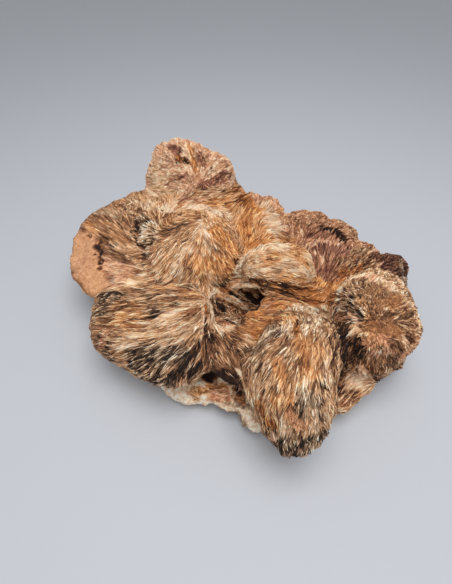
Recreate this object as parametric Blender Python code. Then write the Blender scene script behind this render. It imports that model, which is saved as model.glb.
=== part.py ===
"""A fibrous barite specimen: one mass of crystal fans grown together, as one closed solid.

Every fan is a dome on a leaning plane, whose outline is given by its reach in eight directions
and whose crystals spread from a root. The domes are joined, hollowed where the fans part,
ridged along the crystals, and cut flat where the mass rests.
"""

import math
from collections import namedtuple

import bmesh
import bpy
import numpy as np
from mathutils import Matrix, Vector, noise

MM = 0.001

# ---- driving dimensions, in millimetres, +Z up, with the floor at Z = 0 ----
GRID = 2.4                     # cell in which the fans are joined
TRIANGLES = 9200               # what the finished solid is reduced to
DOME_STEPS = (64, 24)          # steps round and up a dome before the joining
DOME_SQUARENESS = 2.6          # 2 is an ellipsoid, and more is a fuller edge
LUMP_SIZE, LUMP_HEIGHT = 16.0, 3.2
MERGE = 3.0                    # width over which one fan's ridges give way to the next one's
RIDGE_START = 12.0             # distance from the root over which ridges come in
RIDGE_BEND = 8.0               # how often a ridge bends on its way out, in mm a radian
BEND_SHARE = 0.7               # how far it bends, against how far its spacing drifts
BEND_TWIST = 5                 # bends gained in a full turn
SPACING_DRIFT = 3              # times that the ridges' spacing widens and narrows in a turn
FINE_DRIFT = 2                 # how much more the fine ridges drift
FINE_RIDGES = 1.6              # fine ridges for each broad one
FINE_SHARE = 0.7               # how high a fine ridge stands, against a broad one
CREST, GROOVE = 0.4, 2.0       # a ridge's crest and groove, as shares of its fan's relief
FLAT_CUT = 0.0                 # height of the flat resting face
CENTRE = (1.5, 0.5)            # middle of the mass's outline, which is moved to the origin
GROUND = 800.0                 # side of the block that cuts it
SLIVER = 0.02                  # edges shorter than this are closed up

# A fan. middle: the point its outline is measured from. lean: degrees that its face leans
# towards +X and towards +Y. reach: its outline's distance from the middle, every 45 degrees
# from +X round by +Y. up, down: how far it domes above and below the plane. dish: how much
# higher the edge stands than the middle. root: where its crystals start, on the plane.
# ribs: ridges in a full turn round the root, and relief their height.
Fan = namedtuple("Fan", "name middle lean reach up down dish root ribs relief")

FANS = (
    Fan("back_knob", (-41, 101, 82), (0, -45), (39, 28, 28, 37, 42, 38, 33, 34),
        15, 26, 0, (10, -2), 30, 1.2),
    Fan("knob_collar", (-36, 90, 62), (0, -30), (46, 34, 24, 34, 44, 36, 28, 34),
        14, 34, 0, (-60, -20), 44, 1.2),
    Fan("left_fan", (-102, 32, 52), (-8, -8), (45, 50, 59, 52, 40, 44, 50, 59),
        9, 16, 0, (40, -40), 90, 1.0),
    Fan("left_shoulder", (-84, 72, 55), (-5, -12), (34, 32, 30, 30, 32, 34, 34, 34),
        12, 30, 0, (24, -34), 50, 1.2),
    Fan("grey_tuft", (-72, 41, 60), (-25, -10), (17, 23, 37, 32, 21, 26, 33, 22),
        11, 20, 0, (10, 4), 40, 1.4),
    Fan("white_peak", (-32, 30, 56), (0, -5), (33, 35, 40, 41, 39, 44, 39, 42),
        22, 24, 0, (-1, 10), 44, 1.6),
    Fan("ochre_fan", (12, 55, 54), (0, -25), (34, 31, 31, 34, 31, 30, 36, 32),
        6, 30, 10, (-10, -24), 60, 1.5),
    Fan("back_ridge", (20, 86, 51), (5, 5), (24, 18, 15, 22, 34, 22, 18, 22),
        12, 30, 0, (-10, -40), 40, 1.2),
    Fan("pale_dome", (30, 1, 58), (9, -5), (29, 26, 23, 24, 28, 23, 20, 25),
        20, 24, 0, (-29, -8), 50, 1.6),
    Fan("strand_shelf", (34, -14, 48), (5, -25), (30, 22, 16, 20, 30, 22, 16, 22),
        10, 20, 0, (-32, 4), 50, 1.4),
    Fan("valley_fan", (67, -14, 42), (0, 0), (23, 26, 20, 19, 18, 22, 23, 19),
        8, 20, 0, (-17, -5), 50, 1.2),
    Fan("right_dome", (97, -44, 46), (5, -5), (21, 32, 44, 38, 33, 40, 31, 26),
        32, 40, 0, (0, 10), 44, 1.6),
    Fan("right_edge", (115, -46, 26), (20, -15), (16, 17, 22, 20, 20, 26, 17, 14),
        9, 22, 0, (-20, 10), 40, 1.0),
    Fan("brown_plateau", (79, 37, 40), (5, -10), (50, 31, 38, 46, 33, 38, 32, 42),
        9, 30, 0, (-9, -26), 60, 1.2),
    Fan("orange_rim", (83, 65, 46), (10, 5), (27, 17, 11, 33, 39, 20, 14, 19),
        9, 30, 0, (-14, -50), 40, 1.0),
    Fan("purple_tuft", (74, 20, 48), (0, -20), (18, 19, 20, 19, 18, 19, 21, 19),
        10, 20, 0, (-7, -17), 40, 1.2),
    Fan("corner_knob", (132, 20, 35), (10, -10), (11, 19, 20, 16, 16, 20, 20, 11),
        9, 26, 0, (-7, -10), 24, 0.8),
    Fan("lower_left_fan", (-70, -47, 42), (-6, -6), (50, 52, 40, 50, 37, 29, 30, 53),
        17, 20, 0, (46, 26), 70, 1.8),
    Fan("centre_fan", (-8, -65, 44), (0, -10), (17, 20, 27, 21, 17, 18, 23, 22),
        10, 20, 0, (-10, 18), 44, 1.4),
    Fan("front_dome", (33, -84, 46), (0, -5), (27, 42, 46, 32, 31, 34, 45, 29),
        36, 24, 0, (6, 37), 50, 1.6),
    Fan("shelf", (23, -42, 54), (0, -15), (25, 22, 16, 17, 20, 21, 16, 17),
        6, 30, 0, (1, 11), 40, 1.0),
    Fan("low_right_fan", (78, -78, 20), (10, -10), (16, 26, 22, 18, 18, 22, 11, 7),
        9, 18, 0, (-14, -2), 50, 1.2),
    Fan("front_rim", (-38, -68, 14), (0, -15), (36, 26, 24, 26, 27, 18, 19, 25),
        9, 7, 0, (0, 0), 0, 0.0),
    Fan("front_lip", (6, -86, 16), (0, -15), (26, 26, 22, 28, 24, 12, 17, 26),
        9, 8, 0, (0, 0), 0, 0.0),
    Fan("heart", (8, -4, 24), (0, 0), (96, 88, 84, 92, 92, 74, 72, 90),
        24, 30, 0, (0, 0), 0, 0.0),
    Fan("back_mass", (-30, 84, 34), (0, 0), (60, 44, 24, 36, 50, 50, 50, 60),
        36, 40, 0, (0, 0), 0, 0.0),
    Fan("right_mass", (94, 20, 20), (0, 0), (36, 34, 34, 36, 30, 30, 30, 34),
        18, 30, 0, (0, 0), 0, 0.0),
    Fan("rear_fan", (-36, 112, 40), (0, 60), (38, 30, 26, 32, 40, 34, 30, 34),
        12, 20, 0, (6, 18), 50, 1.4),
    Fan("rear_left_fan", (-92, 84, 30), (-45, 45), (30, 28, 22, 26, 32, 28, 26, 28),
        12, 22, 0, (14, 16), 50, 1.4),
    Fan("rear_right_fan", (44, 84, 28), (20, 55), (34, 26, 18, 26, 34, 26, 24, 28),
        12, 22, 0, (-10, 18), 50, 1.4),
)

# Where the fans part, the mass is hollow. middle, half sizes and turn about +Z in degrees.
Hollow = namedtuple("Hollow", "what middle half turn")
HOLLOWS = (
    Hollow("cavity", (3, -20, 52), (18, 9, 27), -20),
    Hollow("cavity's deep end", (12, -9, 44), (15, 9, 12), -15),
    Hollow("cavity's slit", (-5, -29, 42), (15, 5, 12), -18),
    Hollow("gap over the rim", (-18, -77, 29), (20, 11, 12), -20),
    Hollow("gap over the rim, left end", (-36, -73, 27), (14, 6, 6), -8),
    Hollow("gap over the lip", (2, -98, 28), (8, 7, 12), -50),
    Hollow("fold in the right dome", (90, -57, 78), (15, 4, 8), 18),
    Hollow("bowl in the right dome", (88, -66, 78), (12, 8, 9), 10),
)


def fan_axes(fan):
    """The fan's own x, y and face directions, as the rows of a matrix."""
    face = np.array([math.tan(math.radians(a)) for a in fan.lean] + [1.0])
    face /= np.linalg.norm(face)
    across = np.array([1.0, 0.0, 0.0]) - face[0] * face
    across /= np.linalg.norm(across)
    return np.array([across, np.cross(face, across), face])


def reach_at(fan, angle):
    """The outline's distance at these angles, on a smooth closed curve through the reaches."""
    count = len(fan.reach)
    place = (angle / (2 * math.pi) * count) % count
    step = place.astype(int) % count
    share = place - place.astype(int)
    before, start, end, after = (
        np.array(fan.reach, float)[(step + k) % count] for k in (-1, 0, 1, 2)
    )
    slope_in, slope_out = (end - before) / 2, (after - start) / 2
    return (
        start
        + slope_in * share
        + (3 * (end - start) - 2 * slope_in - slope_out) * share**2
        + (2 * (start - end) + slope_in + slope_out) * share**3
    )


def to_fan(fan, points):
    """Points on the fan's own axes, in millimetres from its middle."""
    return (points - np.array(fan.middle)) @ fan_axes(fan).T


def from_fan(fan, local):
    """The reverse of to_fan."""
    return local @ fan_axes(fan) + np.array(fan.middle)


def depth_in(fan, points):
    """How far outside the fan each point is, in millimetres, or inside where it is negative."""
    local = to_fan(fan, points)
    run = np.hypot(local[:, 0], local[:, 1])
    reach = reach_at(fan, np.arctan2(local[:, 1], local[:, 0]))
    share = run / reach
    rise = local[:, 2] - fan.dish * np.minimum(share, 1.5) ** 2
    height = np.abs(rise) / np.where(rise > 0, fan.up, fan.down)
    size = (share**DOME_SQUARENESS + height**2) ** (1 / DOME_SQUARENESS)
    return (size - 1) * np.minimum(reach, np.where(rise > 0, fan.up, fan.down))


def dome_mesh(fan):
    """The fan's dome as points in millimetres and faces, closed at its two poles."""
    around, upward = DOME_STEPS
    angle = np.arange(around) * 2 * math.pi / around
    tilt = (np.arange(1, upward) / upward - 0.5) * math.pi
    angle, tilt = (a.ravel() for a in np.meshgrid(angle, tilt))
    share = np.cos(tilt) ** (2 / DOME_SQUARENESS)
    rise = np.sin(tilt) * np.where(tilt > 0, fan.up, fan.down) + fan.dish * share**2
    run = share * reach_at(fan, angle)
    local = np.stack([run * np.cos(angle), run * np.sin(angle), rise], 1)
    local = np.vstack([local, [[0, 0, -fan.down], [0, 0, fan.up]]])
    bottom, top = len(local) - 2, len(local) - 1
    faces = []
    for i in range(around):
        j = (i + 1) % around
        faces.append((bottom, j, i))
        for k in range(upward - 2):
            low, high = k * around, (k + 1) * around
            faces.append((low + i, low + j, high + j, high + i))
        last = (upward - 2) * around
        faces.append((last + i, last + j, top))
    return from_fan(fan, local), faces


def linked(name, mesh):
    """A new object of this mesh, in the scene."""
    thing = bpy.data.objects.new(name, mesh)
    bpy.context.scene.collection.objects.link(thing)
    return thing


def evaluated_mesh(thing):
    """A new mesh of the object with its modifiers applied."""
    graph = bpy.context.evaluated_depsgraph_get()
    return bpy.data.meshes.new_from_object(thing.evaluated_get(graph))


def joined_domes():
    """One closed mesh of all the fans, joined on a fine grid."""
    points, faces = [], []
    for fan in FANS:
        dome, dome_faces = dome_mesh(fan)
        start = len(points)
        points.extend((dome * MM).tolist())
        faces.extend(tuple(i + start for i in face) for face in dome_faces)
    mesh = bpy.data.meshes.new("domes")
    mesh.from_pydata(points, [], faces)
    domes = linked("domes", mesh)
    even_out(domes)
    for hollow in HOLLOWS:
        cut_hollow(domes, hollow)
    even_out(domes)
    found = evaluated_mesh(domes)
    bpy.data.objects.remove(domes)
    return found


def even_out(domes):
    """Makes one closed surface of what the object holds, on a fine grid."""
    remesh = domes.modifiers.new("even", "REMESH")
    remesh.mode = "VOXEL"
    remesh.voxel_size = GRID * MM


def cut_hollow(domes, hollow):
    """Takes one rounded pocket out of the joined fans."""
    bm = bmesh.new()
    bmesh.ops.create_icosphere(bm, subdivisions=3, radius=1)
    mesh = bpy.data.meshes.new("hollow")
    bm.to_mesh(mesh)
    bm.free()
    cutter = linked("hollow", mesh)
    cutter.location = Vector(hollow.middle) * MM
    cutter.rotation_euler.z = math.radians(hollow.turn)
    cutter.scale = Vector(hollow.half) * MM
    cutter.hide_render = True
    cutter.display_type = "WIRE"
    cut = domes.modifiers.new("hollow", "BOOLEAN")
    cut.operation = "DIFFERENCE"
    cut.object = cutter


def crystal_relief(points):
    """How far each point stands out, in millimetres: ridges along the nearest fans' crystals."""
    ribbed = [fan for fan in FANS if fan.ribs]
    depth = np.stack([np.abs(depth_in(fan, points)) for fan in ribbed])
    weight = np.exp(-(depth - depth.min(0)) / MERGE)
    weight /= weight.sum(0)
    total = np.zeros(len(points))
    for fan, share in zip(ribbed, weight):
        local = to_fan(fan, points) - np.array([*fan.root, 0])
        angle = np.arctan2(local[:, 1], local[:, 0])
        run = np.hypot(local[:, 0], local[:, 1])
        bend = BEND_SHARE * np.sin(run / RIDGE_BEND + BEND_TWIST * angle)
        drift = np.sin(SPACING_DRIFT * angle + fan.ribs) + bend
        broad = np.abs(np.sin(angle * fan.ribs / 2 + drift))
        fine = np.abs(np.sin(angle * fan.ribs / 2 * FINE_RIDGES - FINE_DRIFT * drift))
        height = (broad + FINE_SHARE * fine) / (1 + FINE_SHARE)
        ridge = (CREST + GROOVE) * height - GROOVE
        total += share * fan.relief * ridge * np.clip(run / RIDGE_START, 0, 1)
    return total


def lumps(points):
    """Rounded unevenness, in millimetres, alike wherever it is measured."""
    return LUMP_HEIGHT * np.array([noise.noise(Vector(p) / LUMP_SIZE) for p in points])


def carve_relief(mesh):
    """Moves the mesh's points along their normals by the relief and the lumps."""
    count = len(mesh.vertices)
    points, normals = np.empty(count * 3), np.empty(count * 3)
    mesh.vertices.foreach_get("co", points)
    mesh.vertices.foreach_get("normal", normals)
    points, normals = points.reshape(-1, 3) / MM, normals.reshape(-1, 3)
    points += normals * (crystal_relief(points) + lumps(points))[:, None]
    mesh.vertices.foreach_set("co", (points * MM).ravel())
    mesh.update()


def reduced_and_level(mesh):
    """The mesh with no more than the wanted triangles, cut level where it rests."""
    bpy.ops.mesh.primitive_cube_add(size=GROUND * MM, location=(0, 0, (FLAT_CUT - GROUND / 2) * MM))
    ground = bpy.context.active_object
    ground.hide_render = True
    ground.display_type = "WIRE"
    fine = linked("fine", mesh)
    reduce = fine.modifiers.new("reduce", "DECIMATE")
    triangles = sum(len(face.vertices) - 2 for face in mesh.polygons)
    reduce.ratio = TRIANGLES / triangles
    level = fine.modifiers.new("level", "BOOLEAN")
    level.operation = "DIFFERENCE"
    level.object = ground
    found = evaluated_mesh(fine)
    bpy.data.objects.remove(fine)
    bpy.data.objects.remove(ground)
    bm = bmesh.new()
    bm.from_mesh(found)
    bmesh.ops.dissolve_degenerate(bm, dist=SLIVER * MM, edges=bm.edges[:])
    bmesh.ops.triangulate(bm, faces=bm.faces[:])
    bm.to_mesh(found)
    bm.free()
    return found


def barite_material():
    """Rust-brown to cream barite, dull."""
    material = bpy.data.materials.new("barite")
    material.use_nodes = True
    shader = material.node_tree.nodes["Principled BSDF"]
    shader.inputs["Base Color"].default_value = (0.42, 0.24, 0.12, 1)
    shader.inputs["Roughness"].default_value = 0.75
    return material


def main():
    for thing in list(bpy.data.objects):
        bpy.data.objects.remove(thing)
    mesh = joined_domes()
    carve_relief(mesh)
    mesh = reduced_and_level(mesh)
    mesh.transform(Matrix.Translation((-CENTRE[0] * MM, -CENTRE[1] * MM, 0)))
    mesh.materials.clear()
    mesh.materials.append(barite_material())
    linked("barite_cluster", mesh)


main()
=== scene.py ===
"""The looks of a cluster of fibrous barite fans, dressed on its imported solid.

The solid is taken finer and feathered into small locks of crystal, then covered with single
crystals that follow the strands drawn over it. Lengths are in millimetres, on the fans' own
axes, whose origin lies CENTRE away from the middle of the solid. A place of two numbers is a
spot of the camera's picture, and stands for the point of the stone that is seen there.
"""

import math
from collections import namedtuple
from itertools import product

import bpy
import numpy as np
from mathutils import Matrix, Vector
from mathutils.bvhtree import BVHTree
from mathutils.kdtree import KDTree


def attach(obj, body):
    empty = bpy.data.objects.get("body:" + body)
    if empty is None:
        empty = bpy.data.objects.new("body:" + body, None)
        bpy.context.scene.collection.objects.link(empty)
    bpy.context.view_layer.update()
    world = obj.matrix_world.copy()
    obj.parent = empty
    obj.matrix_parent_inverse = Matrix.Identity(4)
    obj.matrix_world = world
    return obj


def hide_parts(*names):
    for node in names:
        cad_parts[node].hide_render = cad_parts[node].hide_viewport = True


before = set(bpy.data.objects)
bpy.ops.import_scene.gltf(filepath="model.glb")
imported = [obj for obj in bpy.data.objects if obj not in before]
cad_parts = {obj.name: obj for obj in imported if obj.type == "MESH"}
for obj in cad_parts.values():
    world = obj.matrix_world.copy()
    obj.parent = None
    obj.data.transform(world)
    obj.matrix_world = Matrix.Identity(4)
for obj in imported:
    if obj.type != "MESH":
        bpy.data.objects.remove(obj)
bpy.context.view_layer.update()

MM = 0.001
NODE, SLOT, BODY = "barite_cluster", "fibrous_barite", "root"
CENTRE = np.array((1.5, 0.5, 0.0))

# ---- the camera ----
CAMERA_PLACE = (-10, -188, 250)
CAMERA_PITCH = 49                    # degrees below the level
VIEW_PX = 350                        # focal length, in the picture's pixels
PICTURE = (452, 584)                 # its width and height
SENSOR = 36                          # the width of the camera's sensor
SIGHT = 340                          # distance at which a spot just off the stone is looked up

# ---- the fans, with the sizes that the solid was built from ----
# middle, lean in degrees towards +X and +Y, reach every 45 degrees, how far it domes up and
# down, dish of its edge, and the root that its crystals spread from.
Fan = namedtuple("Fan", "name middle lean reach up down dish root")
DOME_SQUARENESS = 2.6
FANS = (
    Fan("back_knob", (-41, 101, 82), (0, -45), (39, 28, 28, 37, 42, 38, 33, 34), 15, 26,
        0, (10, -2)),
    Fan("knob_collar", (-36, 90, 62), (0, -30), (46, 34, 24, 34, 44, 36, 28, 34), 14, 34,
        0, (-60, -20)),
    Fan("left_fan", (-102, 32, 52), (-8, -8), (45, 50, 59, 52, 40, 44, 50, 59), 9, 16,
        0, (40, -40)),
    Fan("left_shoulder", (-84, 72, 55), (-5, -12), (34, 32, 30, 30, 32, 34, 34, 34), 12, 30,
        0, (24, -34)),
    Fan("grey_tuft", (-72, 41, 60), (-25, -10), (17, 23, 37, 32, 21, 26, 33, 22), 11, 20,
        0, (10, 4)),
    Fan("white_peak", (-32, 30, 56), (0, -5), (33, 35, 40, 41, 39, 44, 39, 42), 22, 24,
        0, (-1, 10)),
    Fan("ochre_fan", (12, 55, 54), (0, -25), (34, 31, 31, 34, 31, 30, 36, 32), 6, 30,
        10, (-10, -24)),
    Fan("back_ridge", (20, 86, 51), (5, 5), (24, 18, 15, 22, 34, 22, 18, 22), 12, 30,
        0, (-10, -40)),
    Fan("pale_dome", (30, 1, 58), (9, -5), (29, 26, 23, 24, 28, 23, 20, 25), 20, 24,
        0, (-29, -8)),
    Fan("strand_shelf", (34, -14, 48), (5, -25), (30, 22, 16, 20, 30, 22, 16, 22), 10, 20,
        0, (-32, 4)),
    Fan("valley_fan", (67, -14, 42), (0, 0), (23, 26, 20, 19, 18, 22, 23, 19), 8, 20,
        0, (-17, -5)),
    Fan("right_dome", (97, -44, 46), (5, -5), (21, 32, 44, 38, 33, 40, 31, 26), 32, 40,
        0, (0, 10)),
    Fan("right_edge", (115, -46, 26), (20, -15), (16, 17, 22, 20, 20, 26, 17, 14), 9, 22,
        0, (-20, 10)),
    Fan("brown_plateau", (79, 37, 40), (5, -10), (50, 31, 38, 46, 33, 38, 32, 42), 9, 30,
        0, (-9, -26)),
    Fan("orange_rim", (83, 65, 46), (10, 5), (27, 17, 11, 33, 39, 20, 14, 19), 9, 30,
        0, (-14, -50)),
    Fan("purple_tuft", (74, 20, 48), (0, -20), (18, 19, 20, 19, 18, 19, 21, 19), 10, 20,
        0, (-7, -17)),
    Fan("corner_knob", (132, 20, 35), (10, -10), (11, 19, 20, 16, 16, 20, 20, 11), 9, 26,
        0, (-7, -10)),
    Fan("lower_left_fan", (-70, -47, 42), (-6, -6), (50, 52, 40, 50, 37, 29, 30, 53), 17, 20,
        0, (46, 26)),
    Fan("centre_fan", (-8, -65, 44), (0, -10), (17, 20, 27, 21, 17, 18, 23, 22), 10, 20,
        0, (-10, 18)),
    Fan("front_dome", (33, -84, 46), (0, -5), (27, 42, 46, 32, 31, 34, 45, 29), 36, 24,
        0, (6, 37)),
    Fan("shelf", (23, -42, 54), (0, -15), (25, 22, 16, 17, 20, 21, 16, 17), 6, 30,
        0, (1, 11)),
    Fan("low_right_fan", (78, -78, 20), (10, -10), (16, 26, 22, 18, 18, 22, 11, 7), 9, 18,
        0, (-14, -2)),
    Fan("front_rim", (-38, -68, 14), (0, -15), (36, 26, 24, 26, 27, 18, 19, 25), 9, 7,
        0, (0, 0)),
    Fan("front_lip", (6, -86, 16), (0, -15), (26, 26, 22, 28, 24, 12, 17, 26), 9, 8,
        0, (0, 0)),
    Fan("heart", (8, -4, 24), (0, 0), (96, 88, 84, 92, 92, 74, 72, 90), 24, 30,
        0, (0, 0)),
    Fan("back_mass", (-30, 84, 34), (0, 0), (60, 44, 24, 36, 50, 50, 50, 60), 36, 40,
        0, (0, 0)),
    Fan("right_mass", (94, 20, 20), (0, 0), (36, 34, 34, 36, 30, 30, 30, 34), 18, 30,
        0, (0, 0)),
    Fan("rear_fan", (-36, 112, 40), (0, 60), (38, 30, 26, 32, 40, 34, 30, 34), 12, 20,
        0, (6, 18)),
    Fan("rear_left_fan", (-92, 84, 30), (-45, 45), (30, 28, 22, 26, 32, 28, 26, 28), 12, 22,
        0, (14, 16)),
    Fan("rear_right_fan", (44, 84, 28), (20, 55), (34, 26, 18, 26, 34, 26, 24, 28), 12, 22,
        0, (-10, 18)),
)

# ---- coats of crystals ----
# The share of the stone they hide; their length, width and where along them they are widest;
# how high their tips stand, and how far they stray in degrees; the length, width and rise of
# their locks; the height of the lumps under them, how far the stone sinks there, and how gritty
# it is where it lies bare.
Coat = namedtuple(
    "Coat",
    "cover length width waist lift stray lock_length lock_width lock_rise lumps sink grit",
)
COATS = {
    "needles": Coat(1.0, 14, 0.40, 0.45, 0.4, 2, 26, 1.6, 0.7, 0.1, 0, 0),
    "long fur": Coat(1.0, 10, 0.43, 0.45, 0.9, 4, 13, 1.8, 1.0, 0.3, 0, 0),
    "fur": Coat(1.0, 7, 0.44, 0.45, 1.0, 6, 9, 1.9, 1.1, 0.3, 0, 0),
    "short fur": Coat(1.0, 4.2, 0.43, 0.45, 0.7, 12, 6.5, 1.9, 0.9, 1.0, 0, 0.3),
    "tufts": Coat(1.0, 5.5, 0.52, 0.50, 1.4, 10, 7.5, 2.1, 1.4, 0.6, 0, 0),
    "spikes": Coat(1.0, 6.5, 0.62, 0.55, 2.2, 9, 8, 1.9, 1.8, 0.4, 0, 0),
    "crumbs": Coat(1.0, 3.0, 0.55, 0.55, 1.3, 26, 4.5, 2.0, 1.5, 1.2, 0, 0.3),
    "felt": Coat(1.0, 3.2, 0.46, 0.50, 0.4, 25, 5, 2.2, 0.5, 0.8, 0, 0.3),
    "folds": Coat(1.0, 4.6, 0.50, 0.50, 0.7, 9, 11, 3.8, 2.6, 0.8, 0, 0.3),
    "crust": Coat(0.8, 2.6, 0.60, 0.60, 0.9, 35, 4.5, 3.0, 1.3, 1.9, 0, 0.8),
    "rock": Coat(0.04, 3.0, 0.60, 0.60, 0.2, 40, 9, 6, 0.4, 2.6, 0, 1.3),
    "smooth": Coat(0.0, 6, 0.80, 0.45, 0.3, 3, 30, 1.6, 0.25, 0.3, 0, 0.6),
    "gap": Coat(0.0, 6, 0.80, 0.45, 0.3, 5, 8, 4, 0.3, 0.3, 2.0, 0.3),
}

# ---- colours: shade from 0, black, to 1, white; how far single crystals differ from it; and
# the shares of grey, orange and rose, the rest being tan ----
Colour = namedtuple("Colour", "shade contrast grey orange rose")
COLOURS = {
    "white": Colour(0.87, 0.16, 0.45, 0.0, 0.1),
    "pale cream": Colour(0.77, 0.22, 0.45, 0.0, 0.1),
    "cream": Colour(0.72, 0.28, 0.4, 0.0, 0.0),
    "dull cream": Colour(0.67, 0.28, 0.5, 0.1, 0.0),
    "pink cream": Colour(0.74, 0.22, 0.15, 0.0, 0.5),
    "straw": Colour(0.78, 0.26, 0.25, 0.15, 0.0),
    "gold": Colour(0.62, 0.20, 0.05, 0.4, 0.0),
    "tan": Colour(0.56, 0.30, 0.1, 0.3, 0.0),
    "light tan": Colour(0.63, 0.34, 0.2, 0.2, 0.0),
    "streaked tan": Colour(0.54, 0.38, 0.3, 0.2, 0.0),
    "rosy tan": Colour(0.63, 0.30, 0.0, 0.1, 0.6),
    "pale rose": Colour(0.70, 0.30, 0.3, 0.0, 0.4),
    "rosy brown": Colour(0.54, 0.26, 0.0, 0.1, 0.6),
    "peach": Colour(0.58, 0.16, 0.0, 0.3, 0.4),
    "ochre": Colour(0.61, 0.30, 0.08, 0.65, 0.0),
    "brown ochre": Colour(0.50, 0.40, 0.2, 0.5, 0.0),
    "golden brown": Colour(0.45, 0.12, 0.2, 0.4, 0.0),
    "olive brown": Colour(0.43, 0.16, 0.6, 0.3, 0.0),
    "orange": Colour(0.56, 0.28, 0.0, 1.0, 0.0),
    "rust": Colour(0.44, 0.30, 0.0, 1.0, 0.1),
    "dark rust": Colour(0.33, 0.30, 0.0, 0.9, 0.1),
    "rim orange": Colour(0.54, 0.28, 0.3, 0.3, 0.3),
    "fawn": Colour(0.46, 0.36, 0.15, 0.25, 0.1),
    "brown": Colour(0.41, 0.34, 0.2, 0.2, 0.1),
    "dark brown": Colour(0.26, 0.36, 0.2, 0.2, 0.1),
    "striped brown": Colour(0.10, 0.50, 0.0, 0.9, 0.0),
    "red brown": Colour(0.28, 0.36, 0.0, 0.4, 0.4),
    "plum": Colour(0.37, 0.26, 0.0, 0.1, 0.9),
    "dark plum": Colour(0.19, 0.26, 0.1, 0.0, 0.9),
    "olive": Colour(0.49, 0.32, 0.7, 0.25, 0.0),
    "grey": Colour(0.43, 0.38, 0.7, 0.0, 0.0),
    "dark grey": Colour(0.32, 0.42, 0.6, 0.0, 0.1),
    "black and white": Colour(0.58, 0.60, 0.45, 0.0, 0.0),
    "umber and cream": Colour(0.31, 0.58, 0.6, 0.0, 0.0),
    "black and cream": Colour(0.25, 0.60, 0.6, 0.0, 0.0),
    "black": Colour(0.07, 0.32, 0.1, 0.0, 0.2),
    # painted shade: near black, for the shadow deep in pits, slits, cracks, gaps and the cavity
    "hollow": Colour(0.02, 0.06, 0.1, 0.2, 0.2),
    "pale rock": Colour(0.83, 0.08, 0.8, 0.0, 0.2),
    "grey rock": Colour(0.48, 0.30, 0.9, 0.0, 0.1),
    "mauve rock": Colour(0.52, 0.16, 0.3, 0.0, 0.7),
    "salmon": Colour(0.71, 0.24, 0.0, 0.5, 0.6),
}

FAN_LOOKS = {
    "back_knob": ("short fur", "pale rose"),
    "knob_collar": ("fur", "ochre"),
    "left_fan": ("needles", "fawn"),
    "left_shoulder": ("needles", "light tan"),
    "grey_tuft": ("tufts", "light tan"),
    "white_peak": ("fur", "tan"),
    "ochre_fan": ("fur", "ochre"),
    "back_ridge": ("crust", "rosy tan"),
    "pale_dome": ("fur", "straw"),
    "strand_shelf": ("fur", "brown"),
    "valley_fan": ("fur", "orange"),
    "right_dome": ("crumbs", "streaked tan"),
    "right_edge": ("short fur", "brown"),
    "brown_plateau": ("tufts", "rosy brown"),
    "orange_rim": ("crust", "rim orange"),
    "purple_tuft": ("fur", "plum"),
    "corner_knob": ("crumbs", "dark plum"),
    "lower_left_fan": ("long fur", "streaked tan"),
    "centre_fan": ("long fur", "dark brown"),
    "front_dome": ("fur", "streaked tan"),
    "shelf": ("fur", "orange"),
    "low_right_fan": ("fur", "light tan"),
    "front_rim": ("rock", "pale rock"),
    "front_lip": ("rock", "grey rock"),
    "rear_fan": ("tufts", "tan"),
    "rear_left_fan": ("fur", "streaked tan"),
    "rear_right_fan": ("fur", "brown"),
}

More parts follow.
